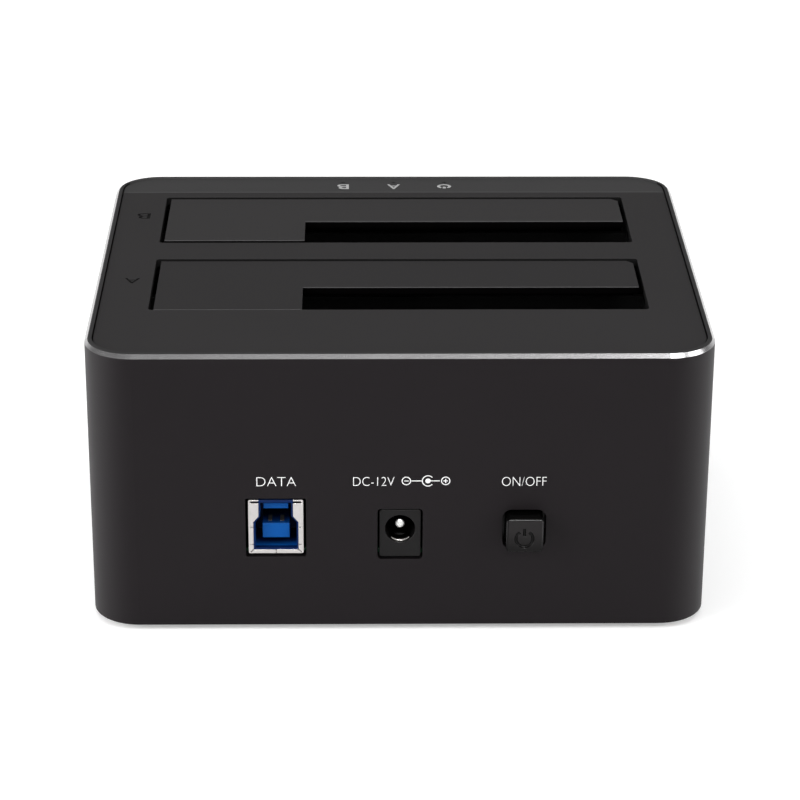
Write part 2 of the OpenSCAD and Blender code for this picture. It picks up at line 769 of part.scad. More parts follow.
// Torsion spring round the hinge pin: one leg under the door, one under the panel
module door_spring(bay) {
    steps = 12;
    count = spring_turns * steps;
    door_leg_z = door_under - spring_wire_r - touch_gap;
    panel_leg_z = panel_under - spring_wire_r - touch_gap;
    turn = [for (i = [0 : count]) [spring_pitch * i / steps,
        spring_r * cos(90 + 360 * i / steps), spring_r * sin(90 + 360 * i / steps)]];
    path = concat(
        [[0, spring_door_leg, door_leg_z], [0, spring_door_leg / 2, (door_leg_z + spring_r) / 2]],
        turn,
        [[spring_turns * spring_pitch, -spring_fixed_leg / 2, (panel_leg_z + spring_r) / 2],
            [spring_turns * spring_pitch, -spring_fixed_leg, panel_leg_z]]);
    color("lightgray") translate([spring_x, hinge_y(bay), hinge_z])
        tube(path, spring_wire_r, [1, 0, 0], steps);
}

module door_spring_a() { door_spring(0); }
module door_spring_b() { door_spring(1); }

module main_board() {
    notch_x = column_x - post_r - board_notch_gap;
    notch_y = column_y - post_r - board_notch_gap;
    color([0.05, 0.25, 0.12]) translate([0, body_y, 0]) difference() {
        translate([0, 0, board_bottom]) linear_extrude(board_t) difference() {
            square([2 * board_half_w, 2 * board_half_d], center = true);
            for (c = corners) translate([c[0] * (notch_x + corner_r), c[1] * (notch_y + corner_r)])
                square(2 * corner_r, center = true);
        }
        for (c = corners) translate([c[0] * board_screw_x, c[1] * board_screw_y, board_bottom - lap])
            cylinder(h = board_t + 2 * lap, r = board_screw_r + screw_room);
    }
}

module board_screws() {
    color("silver") for (c = corners)
        translate([c[0] * board_screw_x, body_y + c[1] * board_screw_y, board_top])
            mirror([0, 0, 1]) screw(board_screw_r, board_screw_len, board_screw_head_r, board_screw_head_h);
}

// Mouth of one half of a drive connector, with its L-shaped key
module conn_mouth(w) {
    square([w, conn_slot_t], center = true);
    translate([w / 2 - conn_key_l / 2, -conn_slot_t / 2]) square([conn_key_l, 2 * conn_key_t], center = true);
}

module drive_connector(bay) {
    color([0.07, 0.07, 0.07]) translate([conn_x, conn_y(bay), board_top]) difference() {
        union() {
            linear_extrude(conn_h) square([conn_w, conn_d], center = true);
            for (s = [-1, 1]) translate([s * (conn_w / 2 - guide_w / 2), 0, conn_h - lap]) along_y(conn_d)
                polygon([[-guide_w / 2, 0], [guide_w / 2, 0], [guide_tip / 2, guide_h],
                    [-guide_tip / 2, guide_h]]);
        }
        translate([0, 0, conn_h - conn_slot_depth]) linear_extrude(conn_slot_depth + beyond) {
            translate([data_slot_x, 0]) conn_mouth(data_slot_w);
            translate([power_slot_x, 0]) conn_mouth(power_slot_w);
        }
    }
}

module drive_connector_a() { drive_connector(0); }
module drive_connector_b() { drive_connector(1); }

module contact_row(count) {
    for (i = [0 : count - 1])
        translate([(i - (count - 1) / 2) * contact_pitch - contact_w / 2, conn_slot_t / 2 - contact_t, 0])
            cube([contact_w, contact_t, contact_stand]);
}

module drive_contacts(bay) {
    color("gold") translate([conn_x, conn_y(bay), board_top + conn_h - conn_slot_depth]) {
        translate([data_slot_x, 0, 0]) contact_row(data_count);
        translate([power_slot_x, 0, 0]) contact_row(power_count);
    }
}

module drive_contacts_a() { drive_contacts(0); }
module drive_contacts_b() { drive_contacts(1); }

// Mouth of the data socket, narrow above its shoulders; inset moves its outline inwards
module data_mouth(inset, top) {
    half = data_mouth_w / 2 - inset;
    neck = data_neck_w / 2 - inset;
    bottom = data_mouth_bottom + inset;
    polygon([[-half, bottom], [half, bottom], [half, data_shoulder_low], [neck, data_shoulder_high],
        [neck, top], [-neck, top], [-neck, data_shoulder_high], [-half, data_shoulder_low]]);
}

module data_socket_shell() {
    inner_w = data_w - 2 * data_sheet;
    inner_h = data_h - 2 * data_sheet;
    foot_l = data_len - data_foot_in;
    slot_start = data_neck_w / 2 - lap;
    slot_end = data_w / 2 - data_top_end;
    color([0.8, 0.78, 0.74]) translate([data_x, port_face_y, data_bottom]) difference() {
        union() {
            translate([0, -data_len / 2, data_h / 2]) along_y(data_len)
                rounded_rect(data_w, data_h, data_bend_r);
            translate([-inner_w / 2, -data_len, -data_lift]) cube([inner_w, foot_l, data_lift + lap]);
        }
        translate([0, -data_len / 2 - data_sheet, data_h / 2]) along_y(data_len)
            square([inner_w, inner_h], center = true);
        along_y(2 * data_top_notch) data_mouth(0, data_h + lap);
        translate([0, 0, data_mouth_bottom - data_slit_l / 2 + lap])
            cube([data_slit, 2 * data_sheet, data_slit_l], center = true);
        for (s = [-1, 1]) {
            for (z = data_side_slits) translate([s * data_mouth_w / 2, 0, z])
                cube([data_slit_l, 2 * data_sheet, data_slit], center = true);
            translate([s * data_mouth_w / 2, 0, data_mouth_bottom]) rotate([0, s * 45, 0])
                cube([data_corner_slit_l, 2 * data_sheet, data_slit], center = true);
            translate([s * (slot_start + slot_end) / 2, 0, data_h - data_top_strip - data_top_slit / 2])
                cube([slot_end - slot_start, 2 * data_sheet, data_top_slit], center = true);
        }
    }
}

module data_socket_insulator() {
    fit = hold_clear;
    under_top = data_h - data_sheet - fit;
    front_l = data_top_notch - fit;
    block_l = data_len - data_block_in;
    block_w = data_w - 2 * data_sheet - 2 * fit;
    block_h = data_h - 2 * data_sheet - 2 * fit;
    tongue_l = data_cavity - tongue_in;
    tongue_y = -tongue_in - tongue_l / 2;
    color([0.05, 0.3, 0.62]) translate([data_x, port_face_y, data_bottom]) {
        difference() {
            union() {
                translate([0, -front_l / 2, 0]) along_y(front_l) data_mouth(fit, data_h);
                translate([0, -data_block_in / 2, 0]) along_y(data_block_in) data_mouth(fit, under_top);
                translate([0, -data_block_in - block_l / 2 + lap, data_h / 2]) along_y(block_l)
                    square([block_w, block_h], center = true);
            }
            along_y(2 * data_cavity) data_mouth(data_liner, data_h - data_roof);
        }
        translate([0, tongue_y, tongue_bottom + tongue_h / 2])
            cube([tongue_w, tongue_l + 2 * lap, tongue_h], center = true);
        translate([0, tongue_y, upper_tongue_bottom + upper_tongue_h / 2])
            cube([upper_tongue_w, tongue_l + 2 * lap, upper_tongue_h], center = true);
    }
}

module data_socket_contacts() {
    y = port_face_y - tongue_in - tongue_contact_in - tongue_contact_l / 2;
    low_w = 0.8;
    low_pitch = 2.45;
    high_w = 0.6;
    high_pitch = 1;
    color("gold") translate([data_x, y, data_bottom]) {
        for (x = [-1, 1] * low_pitch / 2, z = [tongue_bottom - tongue_contact_t / 2,
            tongue_bottom + tongue_h + tongue_contact_t / 2])
            translate([x, 0, z]) cube([low_w, tongue_contact_l, tongue_contact_t], center = true);
        for (i = [-2 : 2]) translate([i * high_pitch, 0, upper_tongue_bottom - tongue_contact_t / 2])
            cube([high_w, tongue_contact_l, tongue_contact_t], center = true);
    }
}

module power_jack_body() {
    barrel_r = jack_w / 2;
    face_r = 0.5;
    rear_len = jack_len - jack_front_len;
    skirt_len = port_face_y - body_y - board_half_d - jack_skirt_gap;
    color([0.12, 0.12, 0.12]) translate([jack_x, port_face_y, 0]) difference() {
        union() {
            translate([0, -skirt_len / 2, jack_face_z]) along_y(skirt_len)
                rounded_rect(jack_w, jack_face_h, face_r);
            translate([0, -jack_front_len / 2, board_top + jack_h / 2]) along_y(jack_front_len)
                rounded_rect(jack_w, jack_h, face_r);
            translate([-jack_w / 2, -jack_len, board_top]) cube([jack_w, rear_len + lap, jack_axis_h]);
            translate([0, -jack_front_len - rear_len / 2, jack_z]) along_y(rear_len + lap) circle(barrel_r);
        }
        translate([0, 0, jack_z]) rotate([90, 0, 0]) translate([0, 0, -lap])
            cylinder(h = jack_hole_depth + lap, r = jack_hole_r);
    }
}

module power_jack_pin() {
    straight = jack_hole_depth - jack_pin_back - jack_pin_r;
    color("silver") translate([jack_x, port_face_y - jack_hole_depth, jack_z]) rotate([-90, 0, 0]) {
        cylinder(h = straight, r = jack_pin_r);
        translate([0, 0, straight]) sphere(jack_pin_r);
    }
}

module power_jack_spring() {
    strip_w = 2.6;
    strip_t = 0.3;
    rise = 0.9;
    flat_l = 3.6;
    crest = 5.4;
    lip_w = 3.8;
    lip_l = 2.6;
    lip_in = 0.5;
    strip_l = jack_hole_depth - lip_in - lip_l + strip_t;
    lip_r = jack_hole_r - touch_gap;
    low = -sqrt(pow(jack_hole_r, 2) - pow(strip_w / 2, 2)) + touch_gap;
    color("silver") translate([jack_x, port_face_y - jack_hole_depth, jack_z]) {
        along_x(strip_w) polygon([[0, low], [flat_l, low], [crest, low + rise], [strip_l, low],
            [strip_l, low + strip_t], [crest, low + rise + strip_t], [flat_l, low + strip_t],
            [0, low + strip_t]]);
        translate([0, jack_hole_depth - lip_in - lip_l / 2, 0]) along_y(lip_l) intersection() {
            difference() {
                circle(lip_r);
                circle(lip_r - strip_t);
            }
            translate([0, -jack_hole_r]) square([lip_w, jack_hole_r], center = true);
        }
    }
}

module power_switch() {
    clip_t = 0.15;
    clip_in = 1;
    color([0.15, 0.15, 0.16]) translate([button_x, switch_front_y, 0]) difference() {
        union() {
            translate([-switch_w / 2, -switch_len, board_top]) cube([switch_w, switch_len, switch_h]);
            for (s = [-1, 1]) translate([s * switch_w / 2 - clip_t, clip_in - switch_len, board_top])
                cube([2 * clip_t, switch_len - 2 * clip_in, switch_h / 2]);
        }
        translate([0, 0, button_z]) cube([stem_hole, 2 * (stem_in_switch + button_travel + stem_end_room),
            stem_hole], center = true);
    }
}

module switch_plunger() {
    len = stem_in_switch + switch_gap + stem_in_button;
    color("whitesmoke") translate([button_x, switch_front_y - stem_in_switch, button_z]) {
        translate([0, len / 2, 0]) cube([stem_w, len, stem_w], center = true);
        translate([0, stem_in_switch + switch_gap - stem_collar_t / 2 - touch_gap, 0])
            cube([stem_collar_w, stem_collar_t, stem_collar_w], center = true);
    }
}

module button_spring() {
    steps = 12;
    count = button_spring_turns * steps;
    start = button_wire_r + touch_gap;
    rise = switch_gap - stem_collar_t - 2 * start - touch_gap;
    path = [for (i = [0 : count]) [button_spring_r * cos(360 * i / steps), start + rise * i / count,
        button_spring_r * sin(360 * i / steps)]];
    color("lightgray") translate([button_x, switch_front_y, button_z])
        tube(path, button_wire_r, [0, 1, 0], steps);
}

module power_button() {
    front_y = back_y + button_out;
    flange_w = button_w + 2 * button_gap + 2 * button_flange;
    flange_y = back_y - sleeve_wall - button_flange_gap - button_flange_t / 2;
    color([0.12, 0.12, 0.12]) translate([button_x, 0, button_z]) difference() {
        union() {
            intersection() {
                translate([0, front_y - button_len / 2, 0]) along_y(button_len)
                    rounded_rect(button_w, button_w, button_corner_r);
                button_side_view(front_y);
                rotate([0, 90, 0]) button_side_view(front_y);
            }
            translate([0, flange_y, 0]) along_y(button_flange_t)
                rounded_rect(flange_w, flange_w, button_corner_r);
        }
        translate([0, button_back_y, 0]) cube([stem_hole, 2 * (stem_in_button + stem_fit), stem_hole],
            center = true);
    }
}

// Side view of the button with its front edges rounded, drawn out along X
module button_side_view(front_y) {
    half = button_w / 2;
    r = button_edge_r;
    start = button_back_y - beyond;
    along_x(2 * button_w) {
        translate([start, -half]) square([front_y - r - start, 2 * half]);
        translate([start, -half + r]) square([front_y - start, 2 * half - 2 * r]);
        for (s = [-1, 1]) translate([front_y - r, s * (half - r)]) circle(r);
    }
}

module light_guide() {
    bottom = board_top + led_h + led_gap;
    web_z = panel_bottom - light_web_drop;
    color([0.85, 0.9, 0.95]) translate([0, light_y, 0]) {
        for (i = [-1, 0, 1]) translate([i * light_pitch, 0, 0]) {
            translate([0, 0, bottom]) cylinder(h = panel_bottom - touch_gap - bottom, r = light_rod_r);
            translate([0, 0, panel_bottom - light_rod_r])
                cylinder(h = light_surface_z - light_tip_gap - panel_bottom + light_rod_r, r = light_tip_r);
        }
        translate([-light_pitch, -light_web_t / 2, web_z]) cube([2 * light_pitch, light_web_t, light_web_h]);
    }
}

module status_leds() {
    color("white") for (i = [-1, 0, 1]) translate([i * light_pitch, light_y, board_top + led_h / 2])
        cube([led_w, led_w, led_h], center = true);
}

// Flat chip with leads on two sides
module chip(w, d, h, leads, pitch) {
    lead_w = pitch / 2;
    reach = 1;
    lead_t = 0.2;
    translate([-w / 2, -d / 2, lead_t]) cube([w, d, h - lead_t]);
    for (s = [-1, 1], i = [0 : leads - 1])
        translate([(i - (leads - 1) / 2) * pitch - lead_w / 2, s * (d / 2 + reach / 2 - lap) - reach / 2, 0])
            cube([lead_w, reach, h / 2]);
}

module controller_chip() {
    side = 12;
    leads = 12;
    pitch = 0.8;
    color([0.08, 0.08, 0.08]) translate([controller_x, slot_mid_y(0), board_top]) for (turn = [0, 90])
        rotate([0, 0, turn]) chip(side, side, chip_h, leads, pitch);
}

module regulator_chips() {
    w = 5;
    d = 4;
    leads = 4;
    color([0.08, 0.08, 0.08]) for (x = regulator_xs) translate([x, slot_mid_y(1), board_top])
        chip(w, d, chip_h, leads, contact_pitch);
}

module power_coils() {
    side = 7.2;
    h = 4;
    edge_r = 1.2;
    core_r = 2.6;
    groove = 0.3;
    color([0.25, 0.25, 0.26]) for (x = coil_xs) translate([x, rear_parts_y, board_top]) difference() {
        linear_extrude(h) rounded_rect(side, side, edge_r);
        translate([0, 0, h - groove]) difference() {
            cylinder(h = 2 * groove, r = core_r + groove);
            translate([0, 0, -lap]) cylinder(h = 2 * groove + 2 * lap, r = core_r);
        }
    }
}

module capacitors() {
    r = 3.15;
    h = 7.7;
    seat_h = 0.8;
    neck = 0.25;
    bevel = 0.5;
    color([0.35, 0.36, 0.4]) for (x = capacitor_xs) translate([x, rear_parts_y, board_top]) rotate_extrude()
        polygon([[0, 0], [r + neck, 0], [r + neck, seat_h], [r - neck, seat_h + neck],
            [r - neck, seat_h + 2 * neck], [r, seat_h + 3 * neck], [r, h - bevel], [r - bevel, h], [0, h]]);
}

module crystal() {
    can_w = 11;
    can_d = 4.6;
    can_h = 3.5;
    color("silver") translate([crystal_x, rear_parts_y + crystal_gap, board_top]) linear_extrude(can_h)
        rounded_rect(can_w, can_d, can_d / 2 - lap);
}

sleeve();
top_panel();
base_plate();
rubber_feet();
base_screws();
drive_well_a();
drive_well_b();
well_screws();
door_a();
door_b();
door_pin_a();
door_pin_b();
door_spring_a();
door_spring_b();
main_board();
board_screws();
drive_connector_a();
drive_connector_b();
drive_contacts_a();
drive_contacts_b();
data_socket_shell();
data_socket_insulator();
data_socket_contacts();
power_jack_body();
power_jack_pin();
power_jack_spring();
power_switch();
switch_plunger();
button_spring();
power_button();
light_guide();
status_leds();
controller_chip();
regulator_chips();
power_coils();
capacitors();
crystal();
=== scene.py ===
# %% [markdown]
# # A docking station for two hard drives
#
# The real object is a black metal sleeve with a dark plastic top. Two sprung doors cover the drive slots,
# and the back carries a data socket, a power inlet and a push button. The solids come from the CAD model,
# so this script only gives them their looks: finishes, printed marks and a few pieces that need a finer
# shape.

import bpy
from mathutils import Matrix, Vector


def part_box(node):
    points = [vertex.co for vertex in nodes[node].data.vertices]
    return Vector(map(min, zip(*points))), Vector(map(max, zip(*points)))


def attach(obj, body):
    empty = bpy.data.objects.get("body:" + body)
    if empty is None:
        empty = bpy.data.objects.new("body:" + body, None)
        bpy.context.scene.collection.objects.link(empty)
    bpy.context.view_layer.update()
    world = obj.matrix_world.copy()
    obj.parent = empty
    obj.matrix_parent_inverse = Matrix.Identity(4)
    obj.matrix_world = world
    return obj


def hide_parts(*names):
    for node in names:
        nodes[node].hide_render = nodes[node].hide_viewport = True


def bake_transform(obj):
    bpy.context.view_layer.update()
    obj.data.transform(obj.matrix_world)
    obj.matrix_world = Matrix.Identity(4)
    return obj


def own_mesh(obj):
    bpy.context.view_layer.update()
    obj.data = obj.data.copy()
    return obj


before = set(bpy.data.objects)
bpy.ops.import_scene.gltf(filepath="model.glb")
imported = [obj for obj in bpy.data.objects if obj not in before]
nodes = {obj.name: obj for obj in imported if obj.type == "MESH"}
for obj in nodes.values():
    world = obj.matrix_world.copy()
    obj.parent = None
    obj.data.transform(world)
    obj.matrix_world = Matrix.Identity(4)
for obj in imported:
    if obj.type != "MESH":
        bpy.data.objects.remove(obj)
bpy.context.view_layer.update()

# %% [markdown]
# Blender counts in metres, and this object was drawn in millimetres. A length that is written with `* MM`
# is in metres. A plain one, as in the drawings of the signs, is in millimetres until it is placed.

# %% Helpers for every later step
import math

import bmesh
import bpy
from mathutils import Matrix, Vector

MM = 0.001
scene = bpy.context.scene


def keep(mesh, name):
    """Make an object of a mesh whose place is already in its points."""
    piece = bpy.data.objects.new(name, mesh)
    scene.collection.objects.link(piece)
    return piece


def triangles(piece):
    """How many triangles a piece has."""
    piece.data.calc_loop_triangles()
    return len(piece.data.loop_triangles)


print("units are metres, 1 mm =", MM)

# %% [markdown]
# ## Camera
#
# The photograph was taken from behind and above with a long lens, so the sides of the case hardly converge.
# The place and the three angles below were fitted to the corners of the case. A camera looks along its own
# -Z axis, and the matrix takes its three axes as columns.

# %% Camera at the photograph's viewing angle
YAW = math.radians(-1.05)
PITCH = math.radians(23.76)
ROLL = math.radians(0.31)
CAMERA_PLACE = (0.0098, 0.5787, 0.2833)
SENSOR = 36
FOCAL_PIXELS = 2877
PICTURE_PIXELS = 800
forward = Vector((math.sin(YAW) * math.cos(PITCH), -math.cos(YAW) * math.cos(PITCH), -math.sin(PITCH)))
level = forward.cross(Vector((0, 0, 1))).normalized()
upright = level.cross(forward)
right = level * math.cos(ROLL) + upright * math.sin(ROLL)
up = upright * math.cos(ROLL) - level * math.sin(ROLL)

lens = bpy.data.cameras.new("studio_camera")
lens.sensor_width = SENSOR
lens.lens = SENSOR * FOCAL_PIXELS / PICTURE_PIXELS
lens.clip_start = 0.01
camera = bpy.data.objects.new("studio_camera", lens)
scene.collection.objects.link(camera)
camera.matrix_world = Matrix.Translation(CAMERA_PLACE) @ Matrix((right, up, -forward)).transposed().to_4x4()
scene.camera = camera
scene.view_settings.view_transform = "Standard"
print("camera looks along", tuple(round(v, 3) for v in forward), "with a lens of", round(lens.lens, 1), "mm")

# %% [markdown]
# ## Shader sums
#
# A finish is a small graph of nodes. Written out node by node it is hard to read, so a `Wire` wraps an
# output socket and lets it stand in a sum: `1 - mask` adds the Math node by itself. Every other node comes
# from `Paint.node`, which sets the node's own settings first and then its sockets.

# %% Wires that can stand in a sum
class Wire:
    """An output socket that can stand in a sum."""

    def __init__(self, paint, socket):
        self.paint = paint
        self.socket = socket

    def math(self, operation, first, second):
        return self.paint.node("ShaderNodeMath", {"operation": operation}, {0: first, 1: second})

    def __add__(self, other):
        return self.math("ADD", self, other)

    def __radd__(self, other):
        return self.math("ADD", other, self)

    def __sub__(self, other):
        return self.math("SUBTRACT", self, other)

    def __rsub__(self, other):
        return self.math("SUBTRACT", other, self)

    def __mul__(self, other):
        return self.math("MULTIPLY", self, other)

    def __rmul__(self, other):
        return self.math("MULTIPLY", other, self)

    def __truediv__(self, other):
        return self.math("DIVIDE", self, other)

    def __rtruediv__(self, other):
        return self.math("DIVIDE", other, self)

    def __gt__(self, other):
        return self.math("GREATER_THAN", self, other)

    def __lt__(self, other):
        return self.math("LESS_THAN", self, other)

    def capped(self):
        """The same value, but never more than 1."""
        return self.math("MINIMUM", self, 1.0)


class Paint:
    """The nodes of one material, or of the world."""

    def __init__(self, tree):
        self.tree = tree
        tree.nodes.clear()

    def node(self, kind, settings=None, inputs=None, output=0):
        """Add a node, set its settings and then its sockets, and give back one of its outputs."""
        made = self.tree.nodes.new(kind)
        for name, value in (settings or {}).items():
            setattr(made, name, value)
        for key, value in (inputs or {}).items():
            if isinstance(value, Wire):
                self.tree.links.new(value.socket, made.inputs[key])
            else:
                made.inputs[key].default_value = value
        return Wire(self, made.outputs[output]) if made.outputs else None


print("a Wire knows + - * / < and >")

# %% [markdown]
# ## Studio
#
# The photograph is a cut-out on white with soft light from above. Rays from the camera, and the reflections
# in metal, see a white world of strength 1. Every other ray sees a plain grey one, so the light on the
# object stays at a plain level and a colour renders about as it is written. The floor does the same, and
# keeps the shadow. A studio's ceiling is dim beside its white walls, so reflections see the world dim
# towards the top.

# %% White surround
def seen_directly(paint):
    """1 for camera, mirror and glass rays, 0 for the rays that carry light."""
    camera_ray = paint.node("ShaderNodeLightPath", output="Is Camera Ray")
    glossy_ray = paint.node("ShaderNodeLightPath", output="Is Glossy Ray")
    glass_ray = paint.node("ShaderNodeLightPath", output="Is Transmission Ray")
    return (camera_ray + glossy_ray + glass_ray).capped()


AMBIENT = 0.55
CEILING_START = 0.1
CEILING_END = 0.45
CEILING_DIM = 0.8
world = bpy.data.worlds.new("studio")
world.use_nodes = True
scene.world = world
sky = Paint(world.node_tree)
strength = AMBIENT + seen_directly(sky) * (1 - AMBIENT)
direction = sky.node("ShaderNodeTexCoord", output="Generated")
height = sky.node("ShaderNodeSeparateXYZ", None, {"Vector": direction}, 2)
ceiling = sky.node("ShaderNodeMapRange", None, {
    "Value": height, "From Min": CEILING_START, "From Max": CEILING_END})
mirrored = sky.node("ShaderNodeLightPath", output="Is Glossy Ray")
strength = strength * (1 - ceiling * mirrored * CEILING_DIM)
backdrop = sky.node("ShaderNodeBackground", inputs={"Color": (1, 1, 1, 1), "Strength": strength})
sky.node("ShaderNodeOutputWorld", inputs={"Surface": backdrop})
print("the surround lights the object at", AMBIENT, "of white")

# %% Paper floor
FLOOR_HALF = 4.0
PAPER = 0.8
PAPER_LIFT = 0.3
floor_mesh = bpy.data.meshes.new("studio_floor")
floor_mesh.from_pydata([(-FLOOR_HALF, -FLOOR_HALF, 0), (FLOOR_HALF, -FLOOR_HALF, 0),
                        (FLOOR_HALF, FLOOR_HALF, 0), (-FLOOR_HALF, FLOOR_HALF, 0)], [], [(0, 1, 2, 3)])
floor = keep(floor_mesh, "studio_floor")
floor_finish = bpy.data.materials.new("studio_floor")
floor_finish.use_nodes = True
paper = Paint(floor_finish.node_tree)
matt = paper.node("ShaderNodeBsdfDiffuse", inputs={"Color": (PAPER, PAPER, PAPER, 1)})
lift = paper.node("ShaderNodeEmission", inputs={"Color": (1, 1, 1, 1), "Strength": PAPER_LIFT})
lifted = paper.node("ShaderNodeAddShader", inputs={0: matt, 1: lift})
shown = paper.node("ShaderNodeMixShader", inputs={0: seen_directly(paper), 1: matt, 2: lifted})
paper.node("ShaderNodeOutputMaterial", inputs={"Surface": shown})
floor_mesh.materials.append(floor_finish)
print("floor is", 2 * FLOOR_HALF, "m square")

# %% [markdown]
# Soft lamps do the rest. A broad one overhead lights the top and the floor evenly, and one on each side
# draws the long pale gradients on the rounded corners. The others are small and show only as reflections:
# two at the right of the picture whiten the cut edge there, and one above the camera puts the glints on the
# button and in the sockets.

# %% Lamps
LAMPS_AIM = Vector((0, 0, 0.04))


def lamp(name, place, size, watts, glint=False):
    """A soft flat lamp that faces the object. A glint lights nothing, and only shows in what reflects it."""
    light = bpy.data.lights.new(name, "AREA")
    light.shape = "RECTANGLE"
    light.size, light.size_y = size
    light.energy = watts
    holder = bpy.data.objects.new(name, light)
    scene.collection.objects.link(holder)
    holder.visible_camera = False
    holder.visible_diffuse = not glint
    aim = LAMPS_AIM - Vector(place)
    holder.matrix_world = Matrix.Translation(place) @ aim.to_track_quat("-Z", "Y").to_matrix().to_4x4()
    return holder


lamps = [
    lamp("overhead_lamp", (0.0, -0.35, 1.9), (1.8, 1.4), 15.5),
    lamp("left_side", (0.65, 0.3, 0.25), (0.4, 0.5), 6.0),
    lamp("right_side", (-0.65, 0.3, 0.25), (0.4, 0.5), 3.8),
    lamp("right_high", (-0.55, 0.62, 1.35), (0.45, 0.45), 4.0, glint=True),
    lamp("right_corner", (-0.7, 0.0, 0.76), (0.45, 0.3), 1.8, glint=True),
    lamp("front_glint", (-0.1, 0.95, 0.85), (0.5, 0.25), 20.0, glint=True),
]
print("lamps:", [holder.name for holder in lamps])

# %% [markdown]
# ## Finishes
#
# Most of the object is moulded plastic. Close up it isn't one flat black: the mould's spark-eroded grain
# breaks up the light, the tone drifts a little from place to place, and handling polishes the edges. A
# Bevel node finds those edges, even on a mesh of loose triangles, and rounds their highlight at the same
# time.

# %% Shared parts of a finish
def object_place(paint):
    """Where a point of the surface lies, in the piece's own coordinates."""
    return paint.node("ShaderNodeTexCoord", output="Object")


def cloud(paint, place, scale, detail=3.0):
    """Soft noise from 0 to 1, with its size given as waves in a metre."""
    return paint.node("ShaderNodeTexNoise", None, {"Vector": place, "Scale": scale, "Detail": detail})


def tone(paint, dark, light, mask):
    """A colour between two colours."""
    return paint.node("ShaderNodeMix", {"data_type": "RGBA"}, {0: mask, 6: (*dark, 1), 7: (*light, 1)}, 2)


def recolour(paint, colour, light, mask):
    """Lay a second colour over a first one that already varies."""
    return paint.node("ShaderNodeMix", {"data_type": "RGBA"}, {0: mask, 6: colour, 7: (*light, 1)}, 2)


def along_axis(paint, place, axis):
    """One coordinate of a place: axis 0 is X, 1 is Y, 2 is Z."""
    return paint.node("ShaderNodeSeparateXYZ", None, {"Vector": place}, axis)


def fade(paint, value, start, end):
    """0 where the value is at start, 1 where it is at end, and a straight run between."""
    return paint.node("ShaderNodeMapRange", None, {"Value": value, "From Min": start, "From Max": end})


def edges(paint, radius):
    """A normal that rolls over sharp edges, and a mask of those edges."""
    rolled = paint.node("ShaderNodeBevel", {"samples": 6}, {"Radius": radius})
    flat = paint.node("ShaderNodeNewGeometry", output="Normal")
    along = paint.node("ShaderNodeVectorMath", {"operation": "DOT_PRODUCT"}, {0: rolled, 1: flat}, 1)
    return rolled, 1 - along


def bumped(paint, height, strength, depth, skin=None):
    """A normal with small bumps. skin is a normal that they lie on, where it isn't the surface's own."""
    sockets = {"Strength": strength, "Distance": depth, "Height": height}
    if skin is not None:
        sockets["Normal"] = skin
    return paint.node("ShaderNodeBump", None, sockets)


def layered(paint, mask, under, over):
    """Two shaders, the second laid over the first where the mask is 1."""
    return paint.node("ShaderNodeMixShader", None, {0: mask, 1: under, 2: over})


def finished(name, build):
    """A material whose nodes are added by build(paint), which gives back its shader."""
    material = bpy.data.materials.new(name)
    material.use_nodes = True
    paint = Paint(material.node_tree)
    paint.node("ShaderNodeOutputMaterial", inputs={"Surface": build(paint)})
    return material


def clad(material, *names):
    """Give CAD nodes a finish."""
    for name in names:
        slots = nodes[name].data.materials
        slots.clear()
        slots.append(material)


print("finishes read the object's own coordinates, so they stay put when a piece moves")

# %% [markdown]
# One recipe serves every moulded piece, with its own colour, gloss and grain. Two kinds of place need more
# than that. `shade` changes the colour by place, and on most pieces that is painted light and shade: a painted
# highlight along an edge, or painted shade in slots, grooves and sockets. `recess` lays a matt black over the
# plastic, painted shade, where a side is so hidden that nothing is mirrored in it.

# %% Moulded plastic
SHADE_BLACK = (0.0016, 0.0014, 0.0015, 1)


def moulded(name, colour, roughness, specular, grain=2200.0, depth=0.02, wear=0.5, round_edge=0.25,
            shade=None, recess=None):
    """Moulded plastic of one colour, with mould grain, drifting tone and polished edges."""
    worn = tuple(min(1.0, v * 1.25 + 0.02) for v in colour)
    pale = tuple(min(1.0, v * 1.12 + 0.002) for v in colour)

    def build(paint):
        place = object_place(paint)
        drift = cloud(paint, place, 45.0)
        speckle = cloud(paint, place, grain, 2.0)
        rolled, edge = edges(paint, round_edge * MM)
        pale_edge = (edge * wear * (0.5 + drift)).capped()
        fresh = tone(paint, colour, pale, drift * 0.7 + speckle * 0.3)
        body = recolour(paint, fresh, worn, pale_edge)
        if shade:
            body = shade(paint, place, body)
        plastic = paint.node("ShaderNodeBsdfPrincipled", None, {
            "Base Color": body,
            "Roughness": roughness - 0.06 + drift * 0.08 + speckle * 0.06 - pale_edge * 0.1,
            "Specular IOR Level": specular,
            "Normal": bumped(paint, speckle, 0.35, depth * MM, rolled)})
        if not recess:
            return plastic
        # Painted shade: a matt black without sheen, laid where recess marks a side that no light reaches.
        unlit = paint.node("ShaderNodeBsdfPrincipled", None, {
            "Base Color": SHADE_BLACK, "Roughness": 1.0, "Specular IOR Level": 0.0})
        return layered(paint, recess(paint, place), plastic, unlit)

    return finished(name, build)


print("black of a hidden side:", SHADE_BLACK[:3])

# %% Shade on the panel
CREASE_Y = -43.7 * MM
CREASE_HALF = 0.35 * MM
CREASE_CLEAR = 0.8 * MM
PANEL_TOP = 61.3
PRESSED_BELOW = (PANEL_TOP - 0.04) * MM
HIGHLIGHT_GREY = (0.06, 0.059, 0.06)


